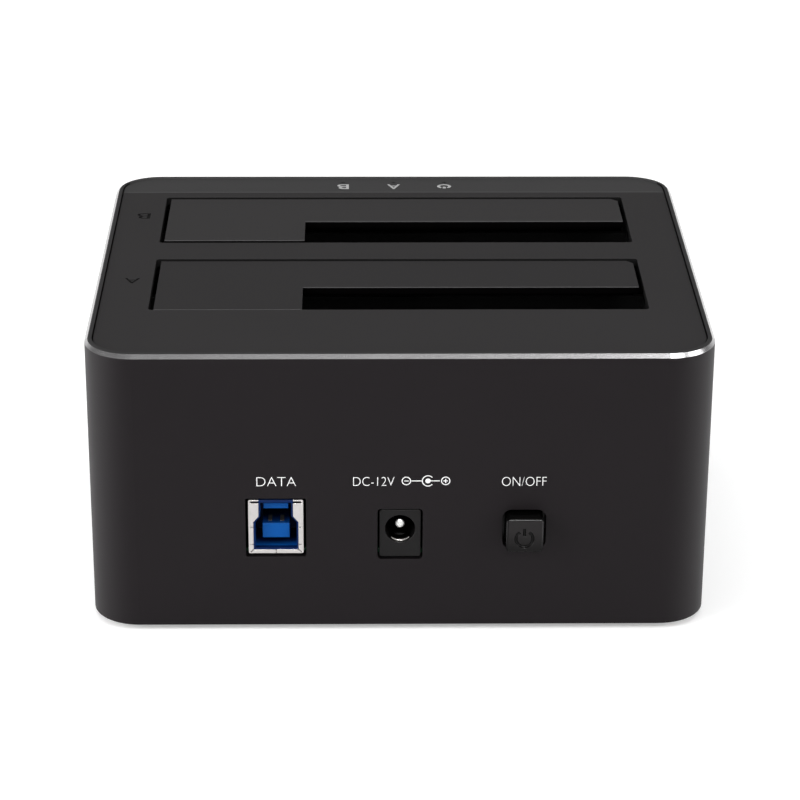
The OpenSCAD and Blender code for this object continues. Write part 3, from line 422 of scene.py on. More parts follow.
def strip_sheen_and_recess_shade(paint, place, body):
    """Painted light and shade: the sloping front strip is painted paler for its sheen, the crease gets a
    painted highlight, and slots and pressed letters are painted black as shade.
    """
    y = along_axis(paint, place, 1)
    # Painted sheen on the sloping strip, and a painted highlight along its crease.
    strip_sheen = recolour(paint, body, (0.0325, 0.032, 0.0325), y < CREASE_Y)
    front_half = fade(paint, y, CREASE_Y - CREASE_HALF, CREASE_Y)
    back_half = fade(paint, y, CREASE_Y + CREASE_HALF, CREASE_Y)
    crease_highlight = recolour(paint, strip_sheen, HIGHLIGHT_GREY, front_half * back_half)
    # Painted shade: the slot walls and the pressed letters are painted black.
    recess_shade_mask = (along_axis(paint, place, 2) < PRESSED_BELOW) * (y > CREASE_Y + CREASE_CLEAR)
    return recolour(paint, crease_highlight, (0.003, 0.0028, 0.0029), recess_shade_mask)


print("the crease of the front strip lies at y =", round(CREASE_Y / MM, 1), "mm")

# %% Shade on the doors
DOOR_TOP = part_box("door_a")[1][2]
HINGES = {"a": (-1.8, 57.7), "b": (-41.0, 57.7)}
HINGE_B_Y = HINGES["b"][0] * MM
WEB_Y = -6.0 * MM
LIFT_B = math.tan(math.radians(0.9))
EDGE_HIGHLIGHT_BAND = (0.006 * MM, 0.03 * MM)
SIDE_SHADE_BAND = (0.08 * MM, 0.16 * MM)


def below_door_top(paint, place):
    """How far a place on a door lies below the door's top, which is tilted on door B."""
    y = along_axis(paint, place, 1)
    return (y - HINGE_B_Y) * LIFT_B * (y < WEB_Y) + DOOR_TOP - along_axis(paint, place, 2)


def dust_and_edge_highlight(paint, place, body):
    """Door B is a little dusty, and a painted highlight lies along the rounded top edge of both doors."""
    dusty = recolour(paint, body, (0.0255, 0.0243, 0.0247), (along_axis(paint, place, 1) < WEB_Y) * 0.75)
    # Painted highlight: a pale line along the rounded top edge.
    pale_edge = fade(paint, below_door_top(paint, place), *EDGE_HIGHLIGHT_BAND)
    return recolour(paint, dusty, (0.066, 0.0645, 0.066), pale_edge)


def door_side_shade(paint, place):
    """Painted shade: below its top edge a door's side is laid over with matt black."""
    return fade(paint, below_door_top(paint, place), *SIDE_SHADE_BAND)


print("top of the doors:", round(DOOR_TOP / MM, 2), "mm")

# %% Shade in the data socket
SOCKET_FACE_Y = 52.4 * MM
LINER_Y = SOCKET_FACE_Y - 1.2 * MM
DEEP_SHADE = (SOCKET_FACE_Y - 1.7 * MM, SOCKET_FACE_Y - 5.0 * MM)


def socket_shade(paint, place, body):
    """Painted shade: the front of the socket's liner is painted darker than its tongue, and the far end darker
    still, where little light reaches.
    """
    y = along_axis(paint, place, 1)
    # Painted shade on the front of the liner, and deeper in the socket.
    liner_shade = recolour(paint, body, (0.001, 0.014, 0.075), y > LINER_Y)
    return recolour(paint, liner_shade, (0.0006, 0.006, 0.026), fade(paint, y, *DEEP_SHADE) * 0.92)


print("face of the sockets: y =", round(SOCKET_FACE_Y / MM, 1), "mm")

# %% Shade on the button
SIGN_X = -25.2 * MM
SIGN_Z = 22.3 * MM
SIGN_REACH = 3.2 * MM
BUTTON_FACE = 56.1 * MM
FACE_HALF = 4.0 * MM
EDGE_FROM = 3.5 * MM


def button_light_and_shade(paint, place, body):
    """Painted light and shade: the face is painted darker towards the bottom, the pressed sign and the cap's
    sides are painted dark as shade, and the side edges get painted highlights.
    """
    across = along_axis(paint, place, 0) - SIGN_X
    upward = along_axis(paint, place, 2) - SIGN_Z
    y = along_axis(paint, place, 1)
    # Painted shade towards the bottom of the face, in the sign's grooves and on the cap's sides.
    downward = fade(paint, upward, 0.4 * FACE_HALF, -0.8 * FACE_HALF)
    lower_shade = recolour(paint, body, (0.002, 0.0018, 0.0018), downward)
    behind = y < BUTTON_FACE - 0.06 * MM
    sign_shade = recolour(paint, lower_shade, (0.0045, 0.004, 0.004), behind)
    outside = across * across + upward * upward > SIGN_REACH ** 2
    side_shade = recolour(paint, sign_shade, (0.001, 0.0009, 0.0009), behind * outside)
    # Painted highlights along the side edges of the face, fading out downwards.
    front = y > BUTTON_FACE - 0.5 * MM
    highlight_reach = fade(paint, upward, -0.6 * FACE_HALF, 0.2 * FACE_HALF)
    edge = (across * across > EDGE_FROM ** 2) * front * highlight_reach
    return recolour(paint, side_shade, (0.03, 0.029, 0.03), edge)


print("face of the button: y =", round(BUTTON_FACE / MM, 1), "mm")

# %% Moulded pieces
panel_plastic = moulded("panel_plastic", (0.0174, 0.0163, 0.0168), 0.74, 0.1, shade=strip_sheen_and_recess_shade)
door_plastic = moulded("door_plastic", (0.0161, 0.0151, 0.0156), 0.72, 0.1, shade=dust_and_edge_highlight,
                       recess=door_side_shade)
base_plastic = moulded("base_plastic", (0.018, 0.018, 0.019), 0.6, 0.25)
well_plastic = moulded("well_plastic", (0.012, 0.012, 0.0125), 0.62, 0.2)
connector_plastic = moulded("connector_plastic", (0.014, 0.014, 0.015), 0.5, 0.35)
jack_plastic = moulded("jack_plastic", (0.004, 0.0035, 0.0037), 0.3, 0.15, depth=0.008)
button_plastic = moulded("button_plastic", (0.014, 0.0126, 0.013), 0.2, 0.1, depth=0.004, wear=0.4,
                         shade=button_light_and_shade)
blue_plastic = moulded("blue_plastic", (0.001, 0.073, 0.30), 0.4, 0.08, depth=0.008, shade=socket_shade)
white_plastic = moulded("white_plastic", (0.62, 0.61, 0.58), 0.5, 0.4)

clad(panel_plastic, "top_panel")
clad(door_plastic, "door_a", "door_b")
clad(base_plastic, "base_plate")
clad(well_plastic, "drive_well_a", "drive_well_b")
clad(connector_plastic, "drive_connector_a", "drive_connector_b", "power_switch")
clad(jack_plastic, "power_jack_body")
clad(button_plastic, "power_button")
clad(blue_plastic, "data_socket_insulator")
clad(white_plastic, "switch_plunger")
plastics = [panel_plastic, door_plastic, base_plastic, well_plastic, connector_plastic, jack_plastic,
            button_plastic, blue_plastic, white_plastic]
print("moulded finishes:", len(plastics))

# %% [markdown]
# The sleeve is an aluminium tube, bead-blasted and dyed black, whose top edge is then cut at 45 degrees so
# that bare metal shows. One material makes it all: masks pick the slanting cut and the narrow flat rim
# inside it, and Mix Shader nodes lay bright metal with the fine lines of the cutter, and a matt black, over
# the blasted black. The rim slopes down with the front strip, so the masks measure from the sloping top.
# The black of the rim runs a little way down the cut, further along the sides than at the ends.

# %% Where the sleeve is cut
SLEEVE_TOP = 61.6 * MM
CUT = 0.9 * MM
CUT_SPARE = 0.1 * MM
DULL_ENDS = 0.13 * MM
DULL_SIDES = 0.28 * MM
FAR_RIM_Y = -50.0 * MM
STRIP_DROP = 0.6
STRIP_RUN = 12.4
WALL_LEAN = 0.3
FLAT_LEAN = 0.9


def cut_and_rim(paint, place):
    """Masks of the bright cut, of the matt rim, and of the rim's inner wall at the far end, where a painted
    highlight lies.
    """
    y = along_axis(paint, place, 1)
    facing = paint.node("ShaderNodeNewGeometry", output="True Normal")
    lean = along_axis(paint, facing, 2)
    sideways = along_axis(paint, facing, 0)
    past_crease = CREASE_Y - y
    fall = past_crease * (past_crease > 0) * (STRIP_DROP / STRIP_RUN)
    below = SLEEVE_TOP - fall - along_axis(paint, place, 2)
    high = below < CUT + CUT_SPARE
    dull = DULL_ENDS + sideways * sideways * 2 * (DULL_SIDES - DULL_ENDS)
    cut = high * (lean > WALL_LEAN) * (lean < FLAT_LEAN) * (below > dull)
    far_wall_highlight = high * (along_axis(paint, facing, 1) > 0.5) * (lean < WALL_LEAN) * (y < FAR_RIM_Y)
    rim = high * (lean > WALL_LEAN) * (1 - cut) + far_wall_highlight
    return cut, rim, far_wall_highlight


print("bright cut:", round((CUT - DULL_ENDS) / MM, 2), "mm high at the ends,",
      round((CUT - DULL_SIDES) / MM, 2), "mm along the sides")

# %% Black sleeve with a bright cut edge
def sleeve_build(paint):
    place = object_place(paint)
    cut, rim, far_wall_highlight = cut_and_rim(paint, place)
    blast = cloud(paint, place, 3200.0, 2.0)
    drift = cloud(paint, place, 30.0)
    squeezed = paint.node("ShaderNodeMapping", None, {"Vector": place, "Scale": (1, 1, 9)})
    lines = cloud(paint, squeezed, 900.0, 4.0)
    rolled, edge = edges(paint, 0.2 * MM)
    rough_skin = bumped(paint, blast, 0.3, 0.012 * MM, rolled)
    cut_skin = bumped(paint, lines * 0.5, 0.3, 0.012 * MM)
    dyed = tone(paint, (0.0047, 0.0033, 0.0041), (0.0072, 0.0051, 0.0063), drift * 0.6 + blast * 0.4)
    blasted = paint.node("ShaderNodeBsdfPrincipled", None, {
        "Base Color": dyed,
        "Roughness": 0.48 + drift * 0.06 + blast * 0.06 - edge * 0.1,
        "Specular IOR Level": 1.0,
        "Specular Tint": (0.1, 0.1, 0.1, 1),
        "Normal": rough_skin})
    # Painted highlight: the inner wall at the far end is painted paler than the matt rim.
    matt_black = tone(paint, (0.021, 0.0205, 0.021), (0.025, 0.0245, 0.025), drift)
    matt = paint.node("ShaderNodeBsdfPrincipled", None, {
        "Base Color": recolour(paint, matt_black, HIGHLIGHT_GREY, far_wall_highlight),
        "Roughness": 0.7 + blast * 0.06,
        "Specular IOR Level": 0.1,
        "Normal": rough_skin})
    bare = paint.node("ShaderNodeBsdfPrincipled", None, {
        "Base Color": tone(paint, (0.38, 0.375, 0.38), (0.62, 0.615, 0.62), lines),
        "Metallic": 1.0,
        "Roughness": 0.19 + drift * 0.06,
        "Normal": cut_skin})
    return layered(paint, cut, layered(paint, rim, blasted, matt), bare)


black_sleeve = finished("black_sleeve", sleeve_build)
clad(black_sleeve, "sleeve")
print("the sleeve's finish has", len(black_sleeve.node_tree.nodes), "nodes")

# %% [markdown]
# The small metal pieces share one recipe with different colours: rolled or drawn metal has faint streaks
# along one direction, a few darker spots, and brighter edges.

# %% Metals
def metal(name, colour, roughness, streak=(1, 1, 1), wear=0.3):
    """Metal with streaks along the axis whose number in streak is the smallest."""
    dull = tuple(v * 0.78 for v in colour)
    bright = tuple(min(1.0, v * 1.15 + 0.03) for v in colour)

    def build(paint):
        place = object_place(paint)
        drawn = cloud(paint, paint.node("ShaderNodeMapping", None, {"Vector": place, "Scale": streak}), 1400.0)
        spots = cloud(paint, place, 260.0)
        rolled, edge = edges(paint, 0.08 * MM)
        body = tone(paint, dull, colour, drawn * 0.6 + spots * 0.5)
        pale_edge = (edge * wear).capped()
        return paint.node("ShaderNodeBsdfPrincipled", None, {
            "Base Color": recolour(paint, body, bright, pale_edge),
            "Metallic": 1.0,
            "Roughness": roughness - 0.05 + drawn * 0.08 + spots * 0.06,
            "Normal": bumped(paint, drawn, 0.2, 0.004 * MM, rolled)})

    return finished(name, build)


socket_steel = metal("socket_steel", (0.53, 0.51, 0.5), 0.32, (1, 0.1, 1))
contact_metal = metal("contact_metal", (0.78, 0.58, 0.25), 0.28, (1, 1, 0.2))
pin_steel = metal("pin_steel", (0.56, 0.56, 0.57), 0.3, (0.1, 1, 1))
spring_steel = metal("spring_steel", (0.45, 0.45, 0.46), 0.34)
# The contacts deep in the data socket are a grey metal, darkened further as painted shade.
shaded_contact = metal("shaded_contact", (0.11, 0.105, 0.1), 0.45, (1, 1, 0.2))
black_screw = metal("black_screw", (0.035, 0.035, 0.037), 0.42)
capacitor_can = metal("capacitor_can", (0.60, 0.61, 0.63), 0.33, (1, 1, 0.15))

clad(socket_steel, "data_socket_shell", "crystal")
clad(contact_metal, "drive_contacts_a", "drive_contacts_b")
clad(shaded_contact, "data_socket_contacts")
clad(pin_steel, "door_pin_a", "door_pin_b", "board_screws")
clad(spring_steel, "door_spring_a", "door_spring_b", "button_spring")
clad(black_screw, "base_screws", "well_screws")
clad(capacitor_can, "capacitors")
metals = [socket_steel, contact_metal, pin_steel, spring_steel, shaded_contact, black_screw, capacitor_can]
print("metal finishes:", len(metals))

# %% [markdown]
# The pin and the spring contact in the power inlet are plated. Only their front ends lie in the light, so the
# light and shade are painted: the tip of the pin is painted bright, the contact's rounded lip is painted with a
# bright crescent, and both finishes are painted black as shade towards the back of the hole. The tip of the
# real pin is flatter than a ball, so its normal leans to the front.

# %% Pin and lip in the power inlet
LIP_FRONT_Y = SOCKET_FACE_Y - 0.5 * MM
LIP_HALF = 1.9 * MM
LIP_LIT = (LIP_FRONT_Y - 0.65 * MM, LIP_FRONT_Y - 0.4 * MM)
TIP_Y = SOCKET_FACE_Y - 1.8 * MM
TIP_LIT = (TIP_Y - 0.85 * MM, TIP_Y - 0.5 * MM)
BLUNT = (0, 0.8, 0)


def plated(paint, colour, lit, skin):
    """Plated metal, painted black as shade where no light reaches it."""
    return paint.node("ShaderNodeBsdfPrincipled", None, {
        "Base Color": tone(paint, (0.004, 0.004, 0.004), colour, lit),
        "Metallic": 1.0,
        "Roughness": 0.36,
        "Normal": skin})


def lip_build(paint):
    place = object_place(paint)
    across = along_axis(paint, place, 0) / LIP_HALF
    painted_crescent = fade(paint, along_axis(paint, place, 1), *LIP_LIT)
    rolled = edges(paint, 0.5 * MM)[0]
    # Painted highlight: a crescent, brightest in the middle of the lip.
    return plated(paint, (0.42, 0.405, 0.39), painted_crescent * (1 - across * across * 0.9), rolled)


def tip_build(paint):
    y = along_axis(paint, object_place(paint), 1)
    normal = paint.node("ShaderNodeNewGeometry", output="Normal")
    leaning = paint.node("ShaderNodeVectorMath", {"operation": "ADD"}, {0: normal, 1: BLUNT})
    flattish = paint.node("ShaderNodeVectorMath", {"operation": "NORMALIZE"}, {0: leaning})
    return plated(paint, (0.68, 0.68, 0.67), fade(paint, y, *TIP_LIT), flattish)


clad(finished("plated_lip", lip_build), "power_jack_spring")
clad(finished("plated_tip", tip_build), "power_jack_pin")
print("the tip of the pin lies", round((SOCKET_FACE_Y - TIP_Y) / MM, 2), "mm inside the face")

# %% [markdown]
# The other small parts are moulded or pressed too, so the same recipe serves them: rubber has a coarse
# grain and no gloss, the resin of a chip is fine and grey, and the core of a coil is a rough grey ferrite.

# %% Rubber, resin, ferrite and clear plastic
rubber = moulded("foot_rubber", (0.014, 0.014, 0.014), 0.85, 0.25, 900.0, 0.05, 0.2)
chip_resin = moulded("chip_resin", (0.018, 0.018, 0.019), 0.55, 0.35, 1600.0, 0.01, 0.2)
coil_ferrite = moulded("coil_ferrite", (0.055, 0.055, 0.058), 0.7, 0.3, 1200.0, 0.03, 0.4)
led_resin = moulded("led_resin", (0.72, 0.70, 0.55), 0.35, 0.5, 1800.0, 0.005, 0.1)
clear_plastic = moulded("clear_plastic", (0.003, 0.003, 0.0032), 0.5, 0.1, 700.0, 0.003, 0.1)

clad(rubber, "rubber_feet")
clad(chip_resin, "controller_chip", "regulator_chips")
clad(coil_ferrite, "power_coils")
clad(led_resin, "status_leds")
clad(clear_plastic, "light_guide")
print("finishes of small parts:", len([rubber, chip_resin, coil_ferrite, led_resin, clear_plastic]))

# %% [markdown]
# The circuit board is a green lacquered sheet. Under the lacquer run copper tracks, which show as paler
# lines. Two Brick textures at right angles give straight runs with breaks, as tracks have, and bare glass
# fibre shows along the cut edges.

# %% Circuit board
def board_build(paint):
    place = object_place(paint)
    turned = paint.node("ShaderNodeMapping", None, {"Vector": place, "Rotation": (0, 0, math.pi / 2)})
    sizes = {"Scale": 1000.0, "Mortar Size": 0.14, "Mortar Smooth": 0.1, "Brick Width": 11.0, "Row Height": 1.1}
    across = paint.node("ShaderNodeTexBrick", None, {"Vector": place, **sizes}, 1)
    along = paint.node("ShaderNodeTexBrick", None, {"Vector": turned, **sizes}, 1)
    patch = cloud(paint, place, 60.0) > 0.5
    tracks = across * patch + along * (1 - patch)
    weave = cloud(paint, place, 1500.0)
    rolled, edge = edges(paint, 0.1 * MM)
    lacquer = tone(paint, (0.006, 0.06, 0.028), (0.01, 0.085, 0.04), weave)
    body = recolour(paint, lacquer, (0.03, 0.15, 0.06), tracks * 0.8)
    return paint.node("ShaderNodeBsdfPrincipled", None, {
        "Base Color": recolour(paint, body, (0.35, 0.30, 0.16), edge * 0.5),
        "Roughness": 0.3 + weave * 0.12,
        "Specular IOR Level": 0.4,
        "Normal": bumped(paint, tracks + weave * 0.2, 0.4, 0.03 * MM, rolled)})


circuit_board = finished("circuit_board", board_build)
clad(circuit_board, "main_board")
print("the board's finish has", len(circuit_board.node_tree.nodes), "nodes")

# %% [markdown]
# ## Springs and thin lines
#
# A spring is a round section swept along a path, and so is a printed line, only flatter. One Geometry Nodes
# tree serves both: it turns the path's edges into a curve and sweeps a circle along it. The tree's sizes
# are named inputs, and each is set by its socket's identifier before the object is first evaluated.

# %% A tree that sweeps a wire along a path
def wire_tree():
    """The tree: a path in, and a round wire along it out."""
    tree = bpy.data.node_groups.new("wire_along_path", "GeometryNodeTree")
    for name, kind in (("Path", "Geometry"), ("Radius", "Float"), ("Sides", "Int"), ("Finish", "Material")):
        tree.interface.new_socket(name, in_out="INPUT", socket_type="NodeSocket" + kind)
    tree.interface.new_socket("Wire", in_out="OUTPUT", socket_type="NodeSocketGeometry")
    given, curve, section, swept, smooth, real, dress, result = (tree.nodes.new(kind) for kind in (
        "NodeGroupInput", "GeometryNodeMeshToCurve", "GeometryNodeCurvePrimitiveCircle",
        "GeometryNodeCurveToMesh", "GeometryNodeSetShadeSmooth", "GeometryNodeRealizeInstances",
        "GeometryNodeSetMaterial", "NodeGroupOutput"))
    swept.inputs["Fill Caps"].default_value = True
    for start, output, end, entry in (
            (given, "Path", curve, "Mesh"), (given, "Sides", section, "Resolution"),
            (given, "Radius", section, "Radius"), (curve, "Curve", swept, "Curve"),
            (section, "Curve", swept, "Profile Curve"), (swept, "Mesh", smooth, "Geometry"),
            (smooth, "Geometry", real, "Geometry"), (real, "Geometry", dress, "Geometry"),
            (given, "Finish", dress, "Material"), (dress, "Geometry", result, "Wire")):
        tree.links.new(start.outputs[output], end.inputs[entry])
    return tree


WIRE = wire_tree()
print("sockets of the tree:", [socket.name for socket in WIRE.interface.items_tree])

# %% Wires as plain meshes
WIRE_SIDES = 10


def evaluated(piece):
    """A plain mesh of what an object's modifiers make."""
    return bpy.data.meshes.new_from_object(piece.evaluated_get(bpy.context.evaluated_depsgraph_get()))


def wired(name, paths, radius, finish, sides=WIRE_SIDES):
    """A mesh of wires along paths. Each path is a list of points, and whether it closes on itself."""
    points, lines = [], []
    for path, closed in paths:
        first, last = len(points), len(points) + len(path) - 1
        points += path
        lines += [(i, i + 1) for i in range(first, last)]
        if closed:
            lines.append((last, first))
    mesh = bpy.data.meshes.new(name + "_path")
    mesh.from_pydata(points, lines, [])
    maker = keep(mesh, name + "_path")
    modifier = maker.modifiers.new("wire", "NODES")
    modifier.node_group = WIRE
    sizes = {"Radius": radius, "Sides": sides, "Finish": finish}
    for socket in WIRE.interface.items_tree:
        if socket.name in sizes:
            modifier[socket.identifier] = sizes[socket.name]
    made = evaluated(maker)
    bpy.data.objects.remove(maker)
    made.name = name
    return made


print("a wire has", WIRE_SIDES, "sides where nothing else is said")

# %% [markdown]
# Each door has a torsion spring on its hinge pin: two straight legs and five turns between them. One leg
# presses on the case and the other on the door, so the coil winds up as the door is pushed down.

# %% Door springs
DOOR_LEG_X = 7.5
FIXED_LEG_X = 12.5
DOOR_LEG = [(DOOR_LEG_X, 7.0, 1.7), (DOOR_LEG_X, 3.5, 1.45)]
FIXED_LEG = [(FIXED_LEG_X, -3.25, 1.35), (FIXED_LEG_X, -6.5, 1.5)]
TURNS = 5
STEPS = 24
COIL_R = 1.2
DOOR_WIRE_R = 0.25 * MM


def coil_point(step):
    """A point of the coil, counted from the door's leg, with the hinge at y = z = 0."""
    angle = 2 * math.pi * step / STEPS + math.pi / 2
    return (DOOR_LEG_X + (FIXED_LEG_X - DOOR_LEG_X) * step / (TURNS * STEPS), COIL_R * math.cos(angle),
            COIL_R * math.sin(angle))


spring_path = DOOR_LEG + [coil_point(step) for step in range(TURNS * STEPS + 1)] + FIXED_LEG
for bay, (hinge_y, hinge_z) in HINGES.items():
    points = [(x * MM, (y + hinge_y) * MM, (z + hinge_z) * MM) for x, y, z in spring_path]
    spring = keep(wired("door_spring_wire_" + bay, [(points, False)], DOOR_WIRE_R, spring_steel),
                  "door_spring_wire_" + bay)
    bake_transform(spring)
    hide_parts("door_spring_" + bay)
    print(spring.name, triangles(spring), "triangles")

# %% [markdown]
# The button is pushed back by a small coil spring, which stands between the switch and the button's collar.
# It shortens along Y, towards the switch, when the button is pressed.

# %% Button spring
BUTTON_X = -25.3
BUTTON_Z = 22.95
SWITCH_Y = 39.9
BUTTON_TURNS = 4
BUTTON_COIL_R = 2.5
BUTTON_COIL_GAP = 0.22
BUTTON_COIL_LENGTH = 3.11
BUTTON_WIRE_R = 0.17 * MM
coil = []
for step in range(BUTTON_TURNS * STEPS + 1):
    angle = 2 * math.pi * step / STEPS
    coil_y = SWITCH_Y + BUTTON_COIL_GAP + BUTTON_COIL_LENGTH * step / (BUTTON_TURNS * STEPS)
    coil.append(((BUTTON_X + BUTTON_COIL_R * math.cos(angle)) * MM, coil_y * MM,
                 (BUTTON_Z + BUTTON_COIL_R * math.sin(angle)) * MM))
button_coil = keep(wired("button_coil", [(coil, False)], BUTTON_WIRE_R, spring_steel, 8), "button_coil")
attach(button_coil, "dock")
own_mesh(button_coil)
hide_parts("button_spring")
print(button_coil.name, triangles(button_coil), "triangles")

# %% [markdown]
# ## Button
#
# The real button is a glossy black cap with the standby sign pressed into its face. The cap is a merged
# copy of the CAD solid, and two short wires, a broken ring and a bar, are cut out of it, which leaves
# round-bottomed grooves. A sharp edge is kept wherever two faces meet at more than 30 degrees.

# %% Copies of CAD solids that can be cut
MERGE_WITHIN = 0.001 * MM
FLAT_ANGLE = math.radians(0.2)
SHARP_ANGLE = math.radians(30)


def merged_copy(node, name):
    """A closed copy of a CAD node's loose triangles."""
    shape = bmesh.new()
    shape.from_mesh(nodes[node].data)
    bmesh.ops.remove_doubles(shape, verts=shape.verts, dist=MERGE_WITHIN)
    bmesh.ops.dissolve_limit(shape, angle_limit=FLAT_ANGLE, verts=shape.verts, edges=shape.edges)
    mesh = bpy.data.meshes.new(name)
    shape.to_mesh(mesh)
    shape.free()
    for spare in ("custom_normal", "sharp_edge", "sharp_face"):
        if spare in mesh.attributes:
            mesh.attributes.remove(mesh.attributes[spare])
    return mesh


def engraved(node, name, cutter_mesh, finish):
    """A copy of a CAD node with a shape cut out of it."""
    body = keep(merged_copy(node, name + "_whole"), name + "_whole")
    cutter = keep(cutter_mesh, name + "_cutter")
    cut = body.modifiers.new("cut", "BOOLEAN")
    cut.operation = "DIFFERENCE"
    cut.solver = "EXACT"
    cut.use_self = True
    cut.object = cutter
    made = evaluated(body)
    for spare in (body, cutter):
        bpy.data.objects.remove(spare)
    made.name = name
    made.materials.clear()
    made.materials.append(finish)
    made.polygons.foreach_set("use_smooth", [True] * len(made.polygons))
    made.set_sharp_from_angle(angle=SHARP_ANGLE)
    return keep(made, name)


print("points of a copy are merged within", MERGE_WITHIN / MM, "mm")

# %% Strokes of a sign
def arc(centre, radius, start, sweep, steps=40):
    """Points of an arc in the XY plane, with angles in degrees."""
    angles = [math.radians(start + sweep * step / steps) for step in range(steps + 1)]
    return [(centre[0] + radius * math.cos(a), centre[1] + radius * math.sin(a), 0) for a in angles]


def ring(centre, radius, steps=40):
    """Points of a whole circle, for a path that closes on itself."""
    return arc(centre, radius, 0, 360, steps)[:-1]


def standby(size):
    """The standby sign: a ring that is open at the top, and a bar that stands in the gap."""
    return [(arc((0, 0), size, 122, 296), False), ([(0, 0.35 * size, 0), (0, 1.35 * size, 0)], False)]


print("a standby sign has", len(standby(1)), "strokes")

# %% Button cap with its sign
BACKWARD = Matrix(((-1, 0, 0), (0, 0, 1), (0, 1, 0))).to_4x4()
SIGN_R = 1.72
GROOVE_R = 0.33


def on_back(x, y, z):
    """Takes a shape drawn in millimetres in XY to the back of the case, where it reads from behind."""
    return Matrix.Translation((x * MM, y * MM, z * MM)) @ BACKWARD @ Matrix.Scale(MM, 4)


groove = wired("button_sign", standby(SIGN_R), GROOVE_R, None, 12)
groove.transform(on_back(SIGN_X / MM, BUTTON_FACE / MM, SIGN_Z / MM))
button_cap = engraved("power_button", "button_cap", groove, button_plastic)
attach(button_cap, "power_button")
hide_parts("power_button")
print(button_cap.name, triangles(button_cap), "triangles")

# %% [markdown]
# ## Words and signs
#
# The names of the sockets are printed in white on the back, the signs of the three lights in grey on the
# front strip, and the letters of the two bays are pressed into the top. Text becomes a flat mesh first, is
# scaled to its measured height, and only then goes to its place. A print is a closed film 0.03 mm thick
# that sinks a little into the surface, so it doesn't float and doesn't flicker.

# %% Letters
FILM = 0.03
SUNK = 0.02
BLOCK_HALF = 0.5


def letters(text, height, width, weight):
    """Text as a closed film in millimetres, with its middle at the origin. weight thickens the strokes."""
    curve = bpy.data.curves.new("words", "FONT")
    curve.body = text
    curve.extrude = BLOCK_HALF
    curve.offset = weight
    curve.resolution_u = 6
    holder = bpy.data.objects.new("words", curve)
    scene.collection.objects.link(holder)
    mesh = evaluated(holder)
    bpy.data.objects.remove(holder)
    low, high = ([pick(v.co[i] for v in mesh.vertices) for i in (0, 1)] for pick in (min, max))
    scaled = Matrix.Diagonal((width / (high[0] - low[0]), height / (high[1] - low[1]), FILM + SUNK, 1))
    mesh.transform(scaled @ Matrix.Translation(
        (-(low[0] + high[0]) / 2, -(low[1] + high[1]) / 2, BLOCK_HALF - SUNK / (FILM + SUNK))))
    return mesh


print("ink film:", FILM, "mm")

# %% Films of ink
def placed(mesh, matrix):
    """A mesh that is moved as a whole."""
    mesh.transform(matrix)
    return mesh


def joined(name, meshes, finish):
    """One piece from several meshes, with its doubles merged and its faces pointing outwards."""
    shape = bmesh.new()
    for mesh in meshes:
        shape.from_mesh(mesh)
    bmesh.ops.remove_doubles(shape, verts=shape.verts, dist=MERGE_WITHIN / 2)
    bmesh.ops.recalc_face_normals(shape, faces=shape.faces)
    made = bpy.data.meshes.new(name)
    shape.to_mesh(made)
    shape.free()
    made.materials.clear()
    made.materials.append(finish)
    return keep(made, name)


def flattened(strokes, radius):
    """Lines of ink: wires along strokes in the XY plane, pressed flat."""
    return placed(wired("ink", strokes, radius, None, 8), Matrix.Diagonal((1, 1, FILM / radius, 1)))


INK_GRAIN = 3000.0
label_ink = moulded("label_ink", (0.78, 0.78, 0.78), 0.55, 0.3, INK_GRAIN, 0.004, 0.0, 0.02)
grey_ink = moulded("grey_ink", (0.33, 0.33, 0.33), 0.6, 0.25, INK_GRAIN, 0.004, 0.0, 0.02)
print("inks:", label_ink.name, grey_ink.name)

# %% White words on the back
BACK_Y = 52.9
WORD_HEIGHT = 2.0
THIN = -0.02
LINE_R = 0.096
DOT_LINE_R = 0.28
DOT_R = 0.27
CUP_R = 1.15
RING_R = 0.85
BAR = 0.46
MINUS_X, DOT_X, PLUS_X = 1.21, 5.6, 9.18
signs = [
    placed(letters("DATA", WORD_HEIGHT, 8.0, THIN), on_back(25.1, BACK_Y, 33.83)),
    placed(letters("DC-12V", WORD_HEIGHT, 8.32, THIN), on_back(5.38, BACK_Y, 33.8)),
    placed(letters("ON/OFF", WORD_HEIGHT, 9.02, THIN), on_back(-25.085, BACK_Y, 33.75)),
]
polarity = [
    (ring((MINUS_X, 0), RING_R), True),
    ([(MINUS_X - BAR, 0, 0), (MINUS_X + BAR, 0, 0)], False),
    ([(2.2, 0, 0), (4.35, 0, 0)], False),
    (arc((DOT_X, 0), CUP_R, 42, 276), False),
    ([(DOT_X, 0, 0), (7.98, 0, 0)], False),
    (ring((PLUS_X, 0), RING_R), True),
    ([(PLUS_X - BAR, 0, 0), (PLUS_X + BAR, 0, 0)], False),
    ([(PLUS_X, -BAR, 0), (PLUS_X, BAR, 0)], False),
]
dot = [(ring((DOT_X, 0), DOT_R, 16), True)]
for strokes, radius in ((polarity, LINE_R), (dot, DOT_LINE_R)):
    signs.append(placed(flattened(strokes, radius), on_back(0, BACK_Y, 33.9)))
back_words = joined("back_words", signs, label_ink)
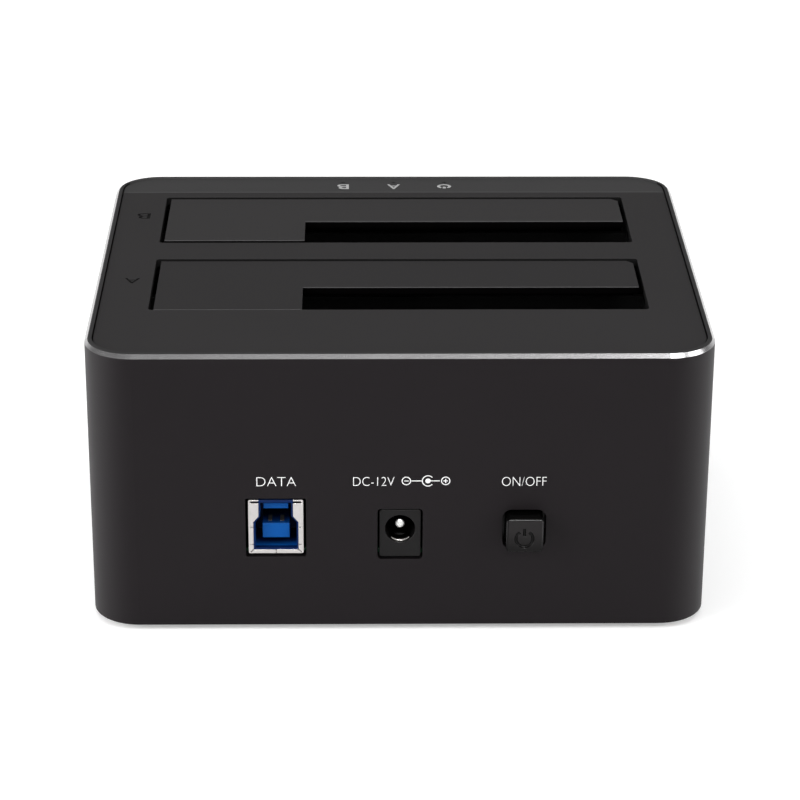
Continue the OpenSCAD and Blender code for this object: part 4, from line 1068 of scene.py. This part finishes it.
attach(back_words, "dock")
print(back_words.name, triangles(back_words), "triangles")

# %% [markdown]
# The front strip falls away from its crease, so its signs are tilted with it. They read from the front,
# where the user stands, and so they are upside down from behind.

# %% Grey signs on the front strip
BOLD = 0.008
slope = math.atan2(STRIP_DROP, STRIP_RUN)


def on_strip(x, y):
    """Takes a shape drawn in millimetres in XY to the sloping strip, where it reads from the front."""
    z = PANEL_TOP + (y - CREASE_Y / MM) * STRIP_DROP / STRIP_RUN
    return Matrix.Translation((x * MM, y * MM, z * MM)) @ Matrix.Rotation(slope, 4, "X") @ Matrix.Scale(MM, 4)


strip_signs = joined("strip_signs", [
    placed(letters("B", 3.6, 2.65, BOLD), on_strip(11.7, -48.0)),
    placed(letters("A", 3.6, 2.9, BOLD), on_strip(0.06, -48.0)),
    placed(flattened(standby(1.28), 0.34), on_strip(-11.6, -48.3)),
], grey_ink)
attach(strip_signs, "dock")
print(strip_signs.name, triangles(strip_signs), "triangles")

# %% [markdown]
# The letters of the bays are cut out of a merged copy of the panel. The blocks that cut them reach above
# the top as well, so no two faces coincide, and their strokes are only as bold as the waist of the B
# allows.

# %% Bay letters pressed into the top
PRESSED = 0.22


def pressed(text, height, width, x, y):
    """A letter as a block that reaches as far above the top of the panel as below it."""
    centred = Matrix.Translation((0, 0, (SUNK - FILM) / 2))
    deep = Matrix.Diagonal((1, 1, 2 * PRESSED / (FILM + SUNK), 1)) @ centred
    top = Matrix.Translation((x * MM, y * MM, PANEL_TOP * MM))
    return placed(letters(text, height, width, BOLD), top @ Matrix.Scale(MM, 4) @ deep)


bay_letters = joined("bay_letters", [
    pressed("B", 3.4, 3.0, 56.25, -28.0),
    pressed("A", 3.0, 3.3, 56.1, 11.7),
], panel_plastic)
bay_mesh = bay_letters.data
bpy.data.objects.remove(bay_letters)
marked_panel = engraved("top_panel", "marked_panel", bay_mesh, panel_plastic)
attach(marked_panel, "dock")
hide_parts("top_panel")
print(marked_panel.name, triangles(marked_panel), "triangles")
